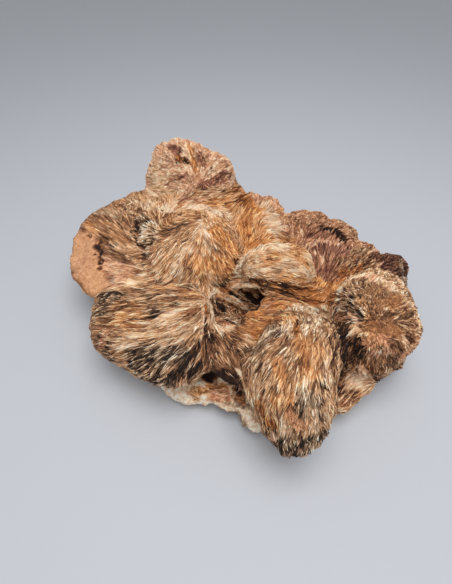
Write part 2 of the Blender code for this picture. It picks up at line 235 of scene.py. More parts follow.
# ---- patches of another finish: a band from start to end, with this half width; a later
# patch lies over an earlier one ----
Patch = namedtuple("Patch", "what coat colour start end half_width")
PATCHES = (
    # back knob
    Patch("cream west side", "short fur", "pale cream", (158, 150), (154, 168), 6),
    Patch("cream top", "short fur", "pink cream", (184, 140), (200, 148), 4),
    Patch("cream top, left", "short fur", "pink cream", (166, 142), (160, 152), 4),
    Patch("cream foot", "short fur", "cream", (153, 178), (178, 180), 4.5),
    Patch("plum stain", "felt", "plum", (172, 146), (178, 152), 4),
    Patch("rust under the stain", "short fur", "rust", (178, 157), (182, 160), 2.5),
    Patch("plum band, right", "felt", "plum", (200, 154), (203, 164), 3.2),
    Patch("plum edge", "felt", "plum", (224, 172), (229, 174), 3),
    Patch("plum edge, top", "felt", "plum", (199, 147), (201, 148), 1.6),
    Patch("plum foot", "felt", "plum", (200, 187), (222, 178), 3.5),
    Patch("plum foot, left", "felt", "plum", (168, 184), (186, 176), 2.5),
    Patch("orange streak", "fur", "orange", (190, 148), (196, 171), 3),
    Patch("cream streak", "fur", "cream", (193, 148), (200, 172), 1.5),
    Patch("peach foot", "short fur", "peach", (193, 178), (198, 180), 2.6),
    Patch("small cream face", "short fur", "cream", (206, 174), (218, 168), 2.4),
    # painted shade: near black in the knob's pits and slit
    Patch("knob's pit", "gap", "hollow", (184, 158), (187, 163), 2.0),
    Patch("knob's pit, left", "gap", "hollow", (178, 163), (181, 165), 1.6),
    Patch("knob's slit", "gap", "hollow", (212, 171), (214, 169), 0.9),
    # painted shade along the seam under the knob
    Patch("knob's seam", "fur", "brown", (233, 179), (205, 189), 1.8),
    Patch("knob's seam, left", "fur", "brown", (205, 189), (180, 198), 1.5),
    # collar under the knob
    Patch("straw foot", "fur", "straw", (154, 192), (172, 197), 7),
    Patch("pale collar", "fur", "light tan", (195, 194), (226, 191), 4),
    Patch("rusty collar", "fur", "rust", (236, 190), (246, 203), 5),
    Patch("rose seam", "fur", "rosy tan", (182, 200), (202, 202), 4),
    Patch("rust seam", "fur", "rust", (202, 204), (226, 207), 2.5),
    Patch("white cap", "fur", "white", (164, 212), (173, 203), 4.5),
    Patch("pale cap, left", "tufts", "pale cream", (138, 205), (158, 209), 5),
    # painted shade: near black in the slit
    Patch("slit in the cap", "gap", "hollow", (161, 208), (158, 221), 1.0),
    Patch("dark crumbs", "crust", "red brown", (238, 187), (253, 199), 2.2),
    Patch("rose ridge", "crust", "rosy tan", (256, 196), (272, 200), 6),
    Patch("pale ridge", "crust", "pink cream", (275, 206), (285, 213), 4),
    # left fan
    Patch("olive edge", "needles", "olive", (100, 208), (118, 216), 6),
    Patch("grey crumbs", "crust", "streaked tan", (126, 208), (138, 218), 6),
    Patch("dark shoulder", "tufts", "fawn", (126, 199), (142, 193), 3),
    Patch("orange needles", "needles", "ochre", (86, 224), (94, 230), 4.5),
    Patch("tan needles", "needles", "rosy tan", (106, 262), (128, 270), 7),
    Patch("tan needles, upper", "needles", "tan", (108, 226), (122, 240), 5),
    Patch("brown needles", "needles", "brown", (112, 248), (126, 258), 5),
    Patch("tan needles by the tuft", "needles", "light tan", (128, 250), (138, 254), 3),
    Patch("pale needles", "needles", "cream", (131, 258), (148, 272), 2.0),
    Patch("straw needles", "needles", "straw", (114, 246), (128, 252), 2.4),
    Patch("smooth band, back", "smooth", "peach", (83, 244), (83, 266), 13),
    Patch("smooth band, front", "smooth", "peach", (89, 272), (97, 283), 12),
    Patch("rosy streak", "smooth", "rosy tan", (78, 256), (96, 252), 1.6),
    Patch("tan beyond the band", "needles", "rosy tan", (112, 272), (118, 286), 7),
    # painted shade: near black in the cracks
    Patch("thin crack", "gap", "hollow", (88, 232), (91, 235), 1.4),
    Patch("wide crack", "gap", "hollow", (97, 242), (100, 252), 2.6),
    Patch("crack's tail", "gap", "hollow", (100, 251), (102, 270), 1.5),
    Patch("straw foot of the fan", "needles", "straw", (120, 288), (144, 279), 4),
    # grey tuft
    Patch("tuft's root", "tufts", "cream", (150, 226), (157, 236), 4),
    Patch("tuft", "spikes", "black and white", (140, 220), (156, 226), 5),
    Patch("tuft, middle", "spikes", "black and white", (140, 233), (154, 240), 6),
    Patch("tuft, foot", "spikes", "black and white", (142, 247), (151, 258), 5),
    # painted shade: near black in the gaps around the tuft
    Patch("black edge of the tuft", "gap", "hollow", (137, 222), (137, 240), 1.8),
    Patch("black foot of the tuft", "gap", "hollow", (138, 244), (141, 248), 2.4),
    Patch("black hem of the tuft", "gap", "hollow", (143, 255), (147, 262), 1.4),
    Patch("cream tip of the tuft", "spikes", "cream", (147, 264), (152, 256), 2.5),
    # peak
    Patch("cream arch, left", "fur", "white", (172, 213), (192, 208), 5.5),
    Patch("cream arch", "fur", "white", (188, 209), (212, 211), 7.5),
    Patch("cream arch, right", "fur", "straw", (210, 210), (213, 224), 3.5),
    Patch("cream tips", "fur", "straw", (216, 210), (230, 219), 4),
    Patch("ochre under the tips", "fur", "ochre", (215, 220), (222, 224), 3),
    Patch("brown hollow", "fur", "brown", (166, 232), (186, 226), 5),
    Patch("tan slope", "fur", "light tan", (160, 256), (184, 238), 10),
    Patch("golden slope", "fur", "orange", (216, 232), (232, 248), 7),
    Patch("cream slope", "fur", "pale cream", (177, 260), (188, 250), 4.6),
    Patch("white peak", "fur", "pale cream", (200, 223), (205, 234), 3.2),
    Patch("cream by the peak", "fur", "pale cream", (193, 237), (198, 228), 3),
    Patch("cream streak down the peak", "fur", "cream", (206, 240), (218, 262), 3.2),
    Patch("golden foot", "fur", "ochre", (198, 264), (232, 264), 7),
    Patch("cream foot of the peak", "fur", "cream", (176, 262), (181, 276), 4),
    Patch("dark foot", "fur", "brown", (189, 266), (194, 273), 3),
    Patch("straw foot of the peak", "fur", "straw", (206, 285), (213, 279), 4.2),
    Patch("straw by the spine", "fur", "straw", (192, 292), (202, 290), 3),
    Patch("straw foot, left", "fur", "straw", (157, 269), (168, 278), 3.4),
    # painted shade: near black in the slit
    Patch("slit by the dome", "gap", "hollow", (236, 263), (239, 267), 2.2),
    # ochre fan
    Patch("orange bowl", "fur", "orange", (243, 232), (252, 246), 8),
    Patch("straw edge", "fur", "pale cream", (264, 212), (281, 232), 9),
    Patch("orange crest", "fur", "orange", (250, 206), (262, 214), 4),
    Patch("white edge of the fan", "fur", "white", (266, 215), (278, 227), 4),
    # painted shade: near black in the slit
    Patch("slit by the plateau", "gap", "hollow", (284, 229), (289, 232), 1.2),
    Patch("orange saddle", "fur", "ochre", (284, 238), (298, 247), 5),
    # pale dome
    Patch("dome's tip", "tufts", "cream", (238, 273), (243, 261), 4),
    Patch("dome's rim", "fur", "cream", (246, 256), (262, 247), 4),
    Patch("dome's crown", "fur", "cream", (264, 247), (280, 247), 4),
    Patch("orange eye", "fur", "ochre", (262, 262), (276, 258), 4),
    Patch("ochre side of the dome", "fur", "ochre", (292, 250), (306, 266), 5),
    Patch("cream locks", "fur", "cream", (252, 274), (278, 269), 3),
    Patch("cream locks, right", "fur", "cream", (286, 267), (306, 270), 3),
    Patch("striped flank", "long fur", "striped brown", (258, 281), (284, 291), 5.5),
    Patch("striped flank, right", "long fur", "striped brown", (280, 285), (304, 297), 5.5),
    Patch("tawny flank", "fur", "ochre", (296, 278), (308, 285), 3),
    Patch("tawny flank, left", "fur", "ochre", (282, 277), (292, 278), 2.4),
    # cavity
    Patch("rusty wall", "long fur", "rust", (221, 286), (224, 296), 4),
    # painted shade: near black in the cavity and its slit
    Patch("cavity", "gap", "hollow", (236, 294), (258, 299), 5.5),
    Patch("cavity's slit", "gap", "hollow", (220, 305), (248, 314), 4),
    Patch("brown under the strand", "fur", "dark rust", (243, 316), (252, 319), 3.4),
    Patch("rosy lip", "fur", "pink cream", (236, 287), (258, 285), 3.6),
    # valley
    Patch("orange floor", "fur", "orange", (313, 268), (313, 294), 4),
    Patch("rust floor", "fur", "rust", (302, 292), (330, 303), 7),
    Patch("orange side", "fur", "orange", (322, 286), (346, 284), 6),
    Patch("red-brown corner", "fur", "red brown", (333, 307), (341, 322), 4),
    # purple tuft, plateau and rim
    Patch("purple tuft", "fur", "plum", (322, 256), (330, 270), 10),
    Patch("pale streaks of the tuft", "fur", "rosy tan", (318, 252), (322, 264), 2),
    Patch("pale tips, left", "tufts", "pink cream", (311, 249), (318, 242), 3),
    Patch("pale tips", "tufts", "pink cream", (325, 241), (338, 245), 3.2),
    Patch("plum plateau", "tufts", "rosy brown", (290, 227), (318, 234), 8),
    Patch("plum step", "tufts", "plum", (306, 238), (322, 234), 4),
    Patch("orange step", "fur", "ochre", (290, 241), (302, 248), 4.5),
    Patch("orange rim, left", "crust", "rim orange", (284, 216), (303, 214), 5),
    Patch("orange rim, middle", "crust", "rim orange", (303, 216), (328, 220), 6),
    Patch("orange rim, right", "crust", "rim orange", (328, 221), (344, 226), 6),
    Patch("orange rim, corner", "crust", "rim orange", (344, 227), (352, 238), 5.5),
    Patch("orange rim, tail", "crust", "rim orange", (352, 242), (366, 248), 4),
    # painted shade in the crease under the orange rim
    Patch("dark crease", "tufts", "black", (322, 229), (336, 231), 3),
    Patch("dark crease, right", "tufts", "black", (337, 233), (345, 241), 3.4),
    # right fan and corner
    Patch("brown tufts", "tufts", "brown", (346, 266), (376, 262), 9),
    Patch("plum tufts, left", "tufts", "plum", (344, 252), (352, 250), 5),
    Patch("olive tips", "tufts", "olive", (354, 253), (368, 250), 4),
    Patch("plum tufts", "tufts", "dark plum", (376, 258), (392, 270), 6),
    Patch("orange foot of the fan", "fur", "rust", (340, 276), (360, 268), 4),
    Patch("grey edge of the corner", "crust", "grey", (401, 262), (404, 281), 2.6),
    # right dome
    Patch("straw crest of the dome", "short fur", "straw", (344, 285), (368, 275), 6),
    Patch("rosy crest", "short fur", "pink cream", (368, 275), (386, 282), 3.4),
    Patch("cream crest", "crumbs", "pale cream", (380, 283), (400, 296), 5),
    Patch("cream side", "crumbs", "dull cream", (402, 296), (410, 310), 4),
    Patch("olive slope", "crumbs", "olive", (358, 289), (374, 296), 9),
    Patch("olive felt", "felt", "olive brown", (374, 289), (389, 297), 5.5),
    Patch("tan slope", "crumbs", "tan", (358, 308), (368, 312), 7),
    Patch("brown hollow of the dome", "crumbs", "brown", (372, 307), (380, 317), 4.5),
    Patch("ochre slope", "felt", "golden brown", (379, 303), (397, 302), 4.5),
    Patch("black spikes", "spikes", "black and white", (342, 295), (350, 301), 6),
    Patch("cream tips of the spikes", "spikes", "cream", (342, 297), (350, 294), 2.2),
    Patch("black spikes, middle", "spikes", "black and cream", (345, 306), (354, 314), 6),
    Patch("cream tuft", "spikes", "pink cream", (343, 320), (351, 318), 3.6),
    Patch("cream strokes in the spikes", "spikes", "cream", (342, 304), (349, 303), 1.5),
    # black spikes, partly painted shade in the deep gap between the domes
    Patch("black flank", "spikes", "black", (341, 334), (349, 350), 10.5),
    Patch("black flank, left", "spikes", "black", (341, 352), (344, 366), 3.6),
    Patch("black flank, foot", "spikes", "black", (352, 348), (364, 362), 7),
    Patch("cream tips in the flank", "spikes", "cream", (351, 333), (358, 331), 1.6),
    Patch("tan cheek", "short fur", "light tan", (354, 326), (362, 330), 3),
    # painted shade in the fold over the bowl
    Patch("dark fold over the bowl", "short fur", "dark brown", (362, 325), (378, 321), 1.8),
    Patch("dark fold, right", "short fur", "dark brown", (378, 320), (399, 313), 2.2),
    Patch("bowl", "felt", "golden brown", (376, 330), (394, 327), 7),
    Patch("brown by the bowl", "short fur", "brown", (394, 342), (396, 352), 3.5),
    # painted highlight on the lit edge of the bowl
    Patch("bowl's bright edge", "felt", "peach", (368, 341), (390, 340), 3.6),
    Patch("rosy foot", "fur", "rosy tan", (374, 353), (388, 354), 4),
    Patch("brown foot", "fur", "brown", (366, 363), (392, 362), 6),
    Patch("red-brown foot", "spikes", "red brown", (364, 366), (376, 377), 5),
    Patch("dark foot of the dome", "spikes", "dark brown", (364, 371), (372, 377), 3),
    Patch("brown right side", "short fur", "brown", (402, 320), (407, 330), 5),
    Patch("cream strokes", "short fur", "cream", (400, 330), (404, 340), 1.5),
    Patch("brown right edge", "short fur", "brown", (404, 311), (413, 324), 4),
    Patch("red hollow", "short fur", "red brown", (407, 334), (410, 340), 2.6),
    Patch("pale face", "short fur", "salmon", (402, 355), (417, 341), 4),
    Patch("dark hem", "spikes", "red brown", (378, 386), (392, 375), 4.5),
    Patch("dark hem, right", "spikes", "red brown", (390, 375), (399, 366), 3.6),
    # front dome
    Patch("orange shelf", "fur", "orange", (264, 306), (290, 304), 6),
    Patch("salmon shelf by the cavity", "long fur", "peach", (266, 304), (272, 314), 3.5),
    Patch("orange shelf, front", "fur", "ochre", (262, 321), (290, 317), 5),
    Patch("rust edge of the shelf", "fur", "dark rust", (269, 298), (298, 303), 4.2),
    Patch("grey brow", "fur", "grey", (256, 348), (270, 336), 6),
    Patch("grey brow, right", "fur", "grey", (272, 332), (284, 340), 6),
    Patch("brown brow", "fur", "brown", (276, 345), (286, 339), 4),
    Patch("cream folds of the dome", "folds", "pale cream", (294, 310), (318, 314), 6),
    Patch("dull folds of the dome", "folds", "dull cream", (322, 309), (332, 320), 4),
    Patch("cream folds, lower", "folds", "dull cream", (309, 325), (328, 330), 5.2),
    Patch("cream fold, left", "folds", "cream", (289, 324), (294, 337), 2.2),
    Patch("tan folds, right", "folds", "streaked tan", (331, 328), (334, 348), 4),
    Patch("pale folds in the middle", "folds", "pale cream", (310, 311), (316, 320), 3.2),
    # painted shade: near black in the pit
    Patch("pit in the folds", "gap", "hollow", (319, 310), (322, 311), 0.8),
    Patch("rusty hollow", "tufts", "rust", (298, 323), (300, 335), 2.8),
    Patch("golden face", "fur", "gold", (303, 342), (320, 354), 6),
    Patch("ochre face, left", "fur", "ochre", (298, 356), (311, 370), 6),
    Patch("tan face", "fur", "streaked tan", (272, 350), (288, 362), 8),
    Patch("orange lock", "fur", "ochre", (277, 364), (281, 376), 4),
    Patch("olive edge of the face", "fur", "streaked tan", (328, 350), (327, 374), 3.5),
    Patch("tan streaks", "fur", "streaked tan", (267, 384), (276, 402), 6),
    Patch("cream streaks", "fur", "cream", (255, 380), (258, 395), 3.5),
    Patch("pale streaks, right", "fur", "dull cream", (306, 386), (310, 398), 3),
    Patch("cream middle", "fur", "light tan", (292, 384), (296, 398), 3.5),
    # painted shade on the dome's steep side next to the gap
    Patch("dark side of the dome", "fur", "dark brown", (334, 340), (335, 374), 4.2),
    Patch("black speck", "fur", "black", (321, 384), (323, 395), 2.0),
    Patch("rust streaks", "fur", "dark rust", (260, 408), (270, 424), 6),
    Patch("orange streaks, lower", "fur", "ochre", (277, 400), (290, 402), 4),
    Patch("tan streaks, middle", "fur", "tan", (281, 386), (284, 396), 3),
    Patch("dark fold", "fur", "black", (285, 409), (300, 406), 2.0),
    Patch("peach spot", "felt", "peach", (292, 415), (298, 424), 4.2),
    Patch("dark side of the spot", "fur", "dark grey", (301, 410), (302, 418), 2.5),
    Patch("cream by the spot", "fur", "cream", (285, 426), (288, 434), 2.8),
    Patch("grey lower right", "fur", "grey", (308, 402), (320, 416), 6.5),
    Patch("cream right edge", "fur", "cream", (322, 396), (325, 412), 3),
    Patch("cream lower right", "fur", "cream", (309, 414), (313, 424), 3),
    Patch("dark toe", "spikes", "black and cream", (276, 441), (304, 448), 8.5),
    Patch("pink toe", "tufts", "pink cream", (263, 434), (275, 438), 3.4),
    Patch("brown toe", "spikes", "dark grey", (310, 440), (322, 438), 6),
    # low right fan
    Patch("rosy fan", "fur", "pale cream", (347, 377), (355, 387), 8),
    Patch("brown side of the fan", "fur", "dark brown", (338, 388), (342, 373), 3),
    Patch("cream tips of the fan", "tufts", "pink cream", (361, 369), (367, 380), 3.5),
    Patch("brown foot of the fan", "fur", "brown", (341, 400), (358, 396), 4),
    Patch("dark hem of the fan", "fur", "red brown", (344, 405), (362, 399), 3),
    # middle
    Patch("olive shelf", "crumbs", "olive", (222, 317), (244, 324), 5.5),
    Patch("ochre shelf", "felt", "peach", (218, 321), (227, 328), 3.6),
    Patch("cream shelf", "fur", "cream", (218, 327), (230, 332), 2.5),
    Patch("orange end of the shelf", "fur", "ochre", (240, 332), (252, 324), 4.5),
    Patch("pale band under the shelf", "fur", "pale cream", (246, 339), (264, 335), 4),
    Patch("tan under the band", "fur", "light tan", (240, 345), (254, 342), 3),
    Patch("cream spine", "long fur", "cream", (203, 296), (202, 334), 2.2),
    Patch("cream spine, right", "long fur", "cream", (208, 299), (215, 327), 2.2),
    Patch("rust gap in the spine", "fur", "rust", (206, 304), (208, 316), 1.4),
    # painted shade: near black in the slit and the hole
    Patch("slit in the spine", "gap", "hollow", (205, 312), (204, 338), 1.5),
    Patch("hole by the knot", "gap", "hollow", (211, 300), (217, 301), 1.6),
    Patch("brown by the spine", "fur", "dark brown", (214, 303), (217, 314), 1.8),
    Patch("white knot", "tufts", "white", (211, 297), (217, 291), 2.4),
    Patch("dark knot", "tufts", "dark grey", (216, 284), (226, 281), 3),
    # painted shade in the crease and along its edge
    Patch("black crease", "gap", "hollow", (211, 342), (222, 354), 3.6),
    Patch("black edge of the crease", "fur", "black", (209, 349), (218, 346), 3),
    Patch("brown streaks", "long fur", "brown", (218, 352), (246, 374), 8),
    # dark brown streaks, partly painted shade beside the crease
    Patch("dark streaks by the crease", "long fur", "dark brown", (206, 348), (222, 351), 4.5),
    Patch("dark streaks under them", "long fur", "dark brown", (206, 360), (228, 376), 5),
    Patch("white speck", "fur", "white", (239, 371), (241, 374), 2.2),
    Patch("peach tip", "fur", "peach", (206, 368), (211, 368), 2.6),
    # lower left fan
    Patch("orange strip", "long fur", "ochre", (154, 289), (196, 295), 4),
    Patch("dark line", "long fur", "dark grey", (143, 298), (176, 304), 1.8),
    Patch("grey edge", "tufts", "dark grey", (103, 300), (120, 297), 4.8),
    Patch("grey tips", "tufts", "dark grey", (100, 312), (112, 307), 5),
    Patch("ochre middle", "long fur", "brown ochre", (118, 308), (150, 316), 6.5),
    Patch("tan middle", "long fur", "brown ochre", (112, 323), (146, 325), 5),
    Patch("dark spot", "fur", "dark grey", (152, 309), (156, 320), 3.8),
    Patch("white streak", "long fur", "white", (164, 318), (176, 311), 2.8),
    Patch("cream streak, upper", "long fur", "dull cream", (180, 306), (202, 303), 3.0),
    Patch("smooth ochre", "felt", "golden brown", (186, 313), (195, 309), 3.2),
    Patch("cream foot of the streaks", "long fur", "cream", (193, 321), (200, 316), 3),
    Patch("cream streak, middle", "long fur", "cream", (150, 326), (176, 321), 3.6),
    Patch("cream streak, outer", "long fur", "dull cream", (127, 341), (150, 328), 4),
    Patch("cream streak, lower", "long fur", "cream", (162, 344), (192, 326), 5),
    Patch("grey outer edge", "tufts", "dark grey", (100, 338), (110, 358), 5),
    Patch("rosy corner", "fur", "rosy tan", (108, 330), (100, 344), 3.5),
    Patch("cream locks by the edge", "long fur", "dull cream", (114, 348), (128, 344), 3.6),
    Patch("umber and cream locks", "long fur", "umber and cream", (134, 352), (162, 359), 6.5),
    Patch("black lower edge", "spikes", "black and cream", (148, 369), (166, 380), 7),
    Patch("black lower edge, left", "spikes", "black and cream", (133, 366), (146, 360), 5),
    Patch("dark locks", "long fur", "black and cream", (178, 352), (194, 366), 8),
    Patch("black by the spine", "long fur", "black", (200, 341), (190, 358), 3),
    Patch("dark foot of the spine", "long fur", "dark brown", (208, 344), (207, 354), 3),
    Patch("tan by the spine", "fur", "tan", (198, 360), (201, 353), 2),
    Patch("black hem of the fan", "spikes", "black", (146, 378), (158, 383), 3),
    Patch("black tip of the fan", "long fur", "black", (178, 372), (198, 370), 3.8),
    # front rim
    Patch("pale rim", "rock", "pale rock", (173, 391), (190, 395), 7),
    Patch("pale rim, middle", "rock", "pale rock", (190, 397), (210, 401), 4.5),
    Patch("brown shelf of the rim", "short fur", "brown", (178, 378), (204, 378), 2),
    Patch("brown back of the rim", "short fur", "brown", (206, 380), (228, 382), 2.8),
    Patch("pale bump of the rim", "rock", "pale rock", (184, 386), (195, 381), 2.6),
    Patch("tan spot of the rim", "felt", "light tan", (196, 388), (195, 399), 2.6),
    Patch("mauve line", "rock", "mauve rock", (180, 386), (190, 393), 0.8),
    Patch("ochre shelf of the rim", "fur", "ochre", (208, 387), (227, 390), 3.4),
    Patch("orange shelf of the rim", "short fur", "ochre", (199, 390), (207, 388), 3.2),
    Patch("salmon shelf", "short fur", "salmon", (214, 396), (227, 396), 5),
    Patch("ochre spot", "felt", "golden brown", (234, 395), (242, 397), 3.2),
    Patch("pale lip", "rock", "pale rock", (218, 405), (242, 409), 2.4),
    Patch("grey lip, right", "rock", "grey rock", (236, 412), (246, 419), 2.4),
    Patch("pale lip, right", "rock", "pale rock", (246, 414), (258, 426), 4.5),
    Patch("pale ridge of the rim", "rock", "pale rock", (230, 388), (232, 403), 1.5),
    Patch("pale lip, end", "rock", "pale rock", (258, 430), (266, 437), 3.5),
    # painted shade: near black in the cavity's end and the gap over the rim
    Patch("dark end of the cavity", "gap", "hollow", (255, 307), (264, 300), 3.6),
    Patch("gap over the rim", "gap", "hollow", (206, 372), (229, 379), 6.4),
    Patch("gap over the rim, right", "gap", "hollow", (228, 382), (240, 393), 3),
    Patch("gap over the rim, left", "gap", "hollow", (178, 376), (206, 372), 2.4),
)
PATCH_EDGE = 0.35              # softness of a patch's edge, as a share of its half width
PATCH_WANDER = ((2.2, 7.0), (1.3, 2.5))      # how far the edges wander, and over what size

# ---- strands: the crystals near each line run along it, from spot to spot ----
STRANDS = {
    "left fan": (
        ((150, 274), (128, 262), (105, 250)), ((98, 262), (76, 256)), ((98, 250), (76, 243)),
        ((140, 270), (110, 268)), ((110, 270), (80, 270)), ((130, 280), (105, 283)),
        ((130, 250), (108, 232), (88, 222)), ((130, 235), (105, 212)), ((138, 225), (120, 205)),
    ),
    "shoulder": (
        ((158, 224), (143, 198)), ((157, 222), (148, 190)), ((150, 220), (130, 203)),
    ),
    "tuft": (
        ((158, 228), (139, 222)), ((157, 236), (138, 234)), ((154, 246), (138, 247)),
        ((153, 254), (144, 264)),
    ),
    "cap": (
        ((160, 222), (165, 204)), ((163, 222), (175, 203)),
    ),
    "knob": (
        ((197, 172), (190, 147)), ((194, 170), (182, 142)), ((200, 174), (212, 152)),
        ((203, 176), (228, 166)), ((180, 172), (152, 166)), ((182, 178), (150, 180)),
        ((180, 162), (158, 148)), ((176, 150), (164, 140)),
    ),
    "collar": (
        ((205, 190), (233, 180)), ((178, 199), (205, 190)), ((215, 196), (240, 190)),
        ((220, 205), (245, 200)), ((185, 192), (155, 195)), ((180, 203), (200, 200)),
        ((175, 180), (155, 180)),
    ),
    "peak": (
        ((196, 226), (165, 250), (152, 275)), ((190, 240), (172, 262), (155, 285)),
        ((200, 238), (190, 262), (180, 285)), ((204, 232), (219, 262)), ((210, 235), (228, 255)),
        ((219, 262), (226, 278)), ((205, 255), (210, 275)),
    ),
    "arch": (
        ((171, 218), (192, 208), (210, 209), (232, 222)), ((212, 212), (222, 238)),
        ((222, 225), (235, 245)), ((186, 222), (162, 232)),
    ),
    "ochre fan": (
        ((240, 250), (233, 222)), ((245, 250), (246, 215)), ((250, 248), (260, 208)),
        ((258, 248), (275, 225)),
    ),
    "ochre edge": (
        ((262, 212), (286, 240)),
    ),
    "ochre fan's left": (
        ((235, 222), (240, 205)),
    ),
    "ridge": (
        ((255, 205), (265, 193)), ((270, 210), (280, 205)),
    ),
    "pale dome": (
        ((238, 270), (244, 256), (258, 247), (280, 245)), ((240, 268), (262, 262), (298, 262)),
        ((280, 250), (305, 262)), ((245, 275), (275, 270), (308, 274)),
    ),
    "flank": (
        ((258, 279), (300, 298)), ((275, 280), (306, 290)),
    ),
    "lip": (
        ((232, 287), (262, 284), (285, 292), (308, 300)),
    ),
    "strands": (
        ((218, 296), (250, 312)),
    ),
    "valley": (
        ((313, 296), (314, 268)), ((314, 296), (345, 282)), ((312, 298), (335, 307)),
        ((318, 290), (335, 275)), ((300, 265), (308, 290)),
    ),
    "purple tuft": (
        ((322, 276), (315, 246)), ((324, 275), (327, 240)), ((328, 275), (342, 248)),
    ),
    "plateau": (
        ((290, 245), (300, 228)), ((305, 240), (320, 232)), ((300, 232), (285, 222)),
        ((325, 240), (335, 230)), ((340, 250), (348, 240)),
    ),
    "rim": (
        ((285, 216), (305, 214)), ((305, 216), (338, 222), (352, 240)),
    ),
    "right fan": (
        ((338, 278), (358, 254)), ((345, 275), (372, 255)), ((355, 275), (388, 265)),
        ((330, 280), (345, 262)),
    ),
    "corner": (
        ((385, 275), (400, 262)), ((388, 280), (404, 275)),
    ),
    "dome crest": (
        ((350, 285), (368, 274)),
    ),
    "spikes": (
        ((358, 292), (338, 290)), ((356, 300), (337, 303)), ((358, 312), (340, 314)),
        ((360, 322), (340, 335)), ((365, 330), (345, 352)), ((368, 340), (352, 362)),
    ),
    "dome foot": (
        ((372, 346), (362, 372)), ((380, 346), (376, 375)), ((388, 346), (392, 372)),
        ((396, 340), (408, 358)),
    ),
    "dome side": (
        ((398, 330), (416, 335)), ((390, 315), (408, 305)), ((385, 300), (400, 292)),
    ),
    "dome slope": (
        ((370, 320), (366, 298)),
    ),
    "bowl": (
        ((392, 326), (368, 332)),
    ),
    "dome slope, left": (
        ((360, 318), (356, 300)),
    ),
    "brow": (
        ((284, 326), (265, 338), (245, 356)),
    ),
    "folds": (
        ((298, 308), (294, 334)), ((308, 306), (304, 334)), ((320, 312), (324, 338)),
        ((332, 318), (336, 348)),
    ),
    "front dome": (
        ((288, 335), (262, 360), (250, 385)), ((285, 350), (268, 380), (258, 410)),
        ((305, 340), (292, 372), (285, 405), (282, 440)),
        ((315, 345), (312, 380), (310, 420), (305, 452)), ((328, 345), (332, 385), (330, 415)),
        ((325, 420), (320, 450)), ((258, 410), (272, 440)), ((295, 425), (290, 452)),
        ((268, 425), (282, 447)),
    ),
    "shelf": (
        ((262, 305), (292, 302)), ((255, 325), (290, 312)), ((258, 318), (285, 325)),
    ),
    "low fan": (
        ((340, 395), (345, 370)), ((341, 396), (362, 372)), ((342, 400), (366, 380)),
        ((343, 405), (362, 395)),
    ),
    "spine": (
        ((208, 295), (212, 330)),
    ),
    "middle": (
        ((212, 330), (225, 350)), ((215, 335), (245, 345)), ((225, 350), (250, 385)),
        ((212, 352), (240, 385)), ((210, 340), (208, 368)), ((220, 315), (245, 322)),
        ((225, 325), (248, 335)),
    ),
    "lower left": (
        ((204, 300), (178, 305), (150, 308), (118, 312), (95, 318)),
        ((195, 292), (160, 290), (125, 296), (100, 300)),
        ((203, 312), (175, 325), (140, 338), (102, 345)), ((204, 325), (178, 345), (145, 368)),
        ((145, 335), (105, 328)), ((205, 335), (190, 362), (172, 380)), ((170, 345), (130, 362)),
        ((206, 340), (200, 368)),
    ),
    "front rim": (
        ((180, 385), (200, 400)), ((200, 385), (225, 398)), ((215, 400), (260, 432)),
    ),
}
STRAND_REACH = 8.0             # how far a strand's pull goes
FAN_PULL = 0.02                # the pull of a fan's own spread, where no strand is near

# ---- tresses: bundles of crystals that stand free of the stone, from start to end, bowed up
# in the middle, with this half width ----
Tress = namedtuple("Tress", "what colour start end bow half_width crystals")
TRESSES = (
    Tress("broad strand over the cavity", "light tan", (216, 293), (245, 309), 2, 2.8, 440),
    Tress("strand's upper edge", "pink cream", (228, 296), (246, 309), 3, 0.9, 120),
    Tress("strand's lower edge", "rosy tan", (217, 297), (240, 308), 2, 0.8, 110),
    Tress("strand in the slit", "rosy tan", (219, 302), (232, 310), 1, 0.5, 40),
    Tress("rusty wall", "dark rust", (219, 288), (229, 300), 1, 2.4, 200),
    Tress("lip of the cavity", "straw", (231, 288), (266, 287), 2, 1.7, 300),
    Tress("lip of the cavity, upper", "pink cream", (234, 285), (256, 284), 1, 1.2, 120),
    Tress("lip of the cavity, right", "rosy tan", (248, 287), (268, 290), 1, 1.2, 150),
    Tress("hairs in the cavity", "tan", (250, 287), (257, 297), 1, 2.4, 130),
    Tress("hairs in the cavity, left", "tan", (230, 288), (246, 300), 1, 2.4, 130),
    Tress("ridge of the spine", "pink cream", (204, 296), (202, 332), 2, 1.1, 220),
    Tress("ridge of the spine, right", "cream", (208, 299), (215, 327), 2, 1.0, 200),
    Tress("knot at the spine's top", "cream", (208, 298), (217, 290), 1, 1.3, 110),
    Tress("needle over the gap", "cream", (230, 374), (246, 394), 1, 0.25, 22),
    Tress("needle over the gap, left", "pink cream", (236, 394), (247, 380), 1, 0.25, 20),
    # dark brown needles, partly painted shade of the gap they lie in
    Tress("needles beside the gap", "dark brown", (226, 372), (240, 390), 1, 1.2, 60),
    Tress("white speck", "white", (236, 369), (242, 376), 1, 1.0, 60),
)

# ---- the surface ----
GRAIN = 1.6                    # cell of the fine surface
SINK = 0.4                     # how far the fine surface lies inside the solid's
ROUND_OFF = 3                  # passes that take the facets off
LEVEL_FADE = 4.0               # height over which relief comes in above the resting face
SEAM_FILL = 7.0                # how far from a seam between two fans it is filled up
DISH_END = 1.5                 # a fan's dish bends on to this many reaches from its middle
FAR_AWAY = 99.0                # the depth given to the plain masses, which own no surface
CREASE_SHARE, CREASE_SIZE, CREASE_SHARPNESS = 0.4, 7, 3   # of the creases between lumps
LUMPS = ((0.4, 4), (0.25, 2))  # share and size of each layer of lumps beside the creases

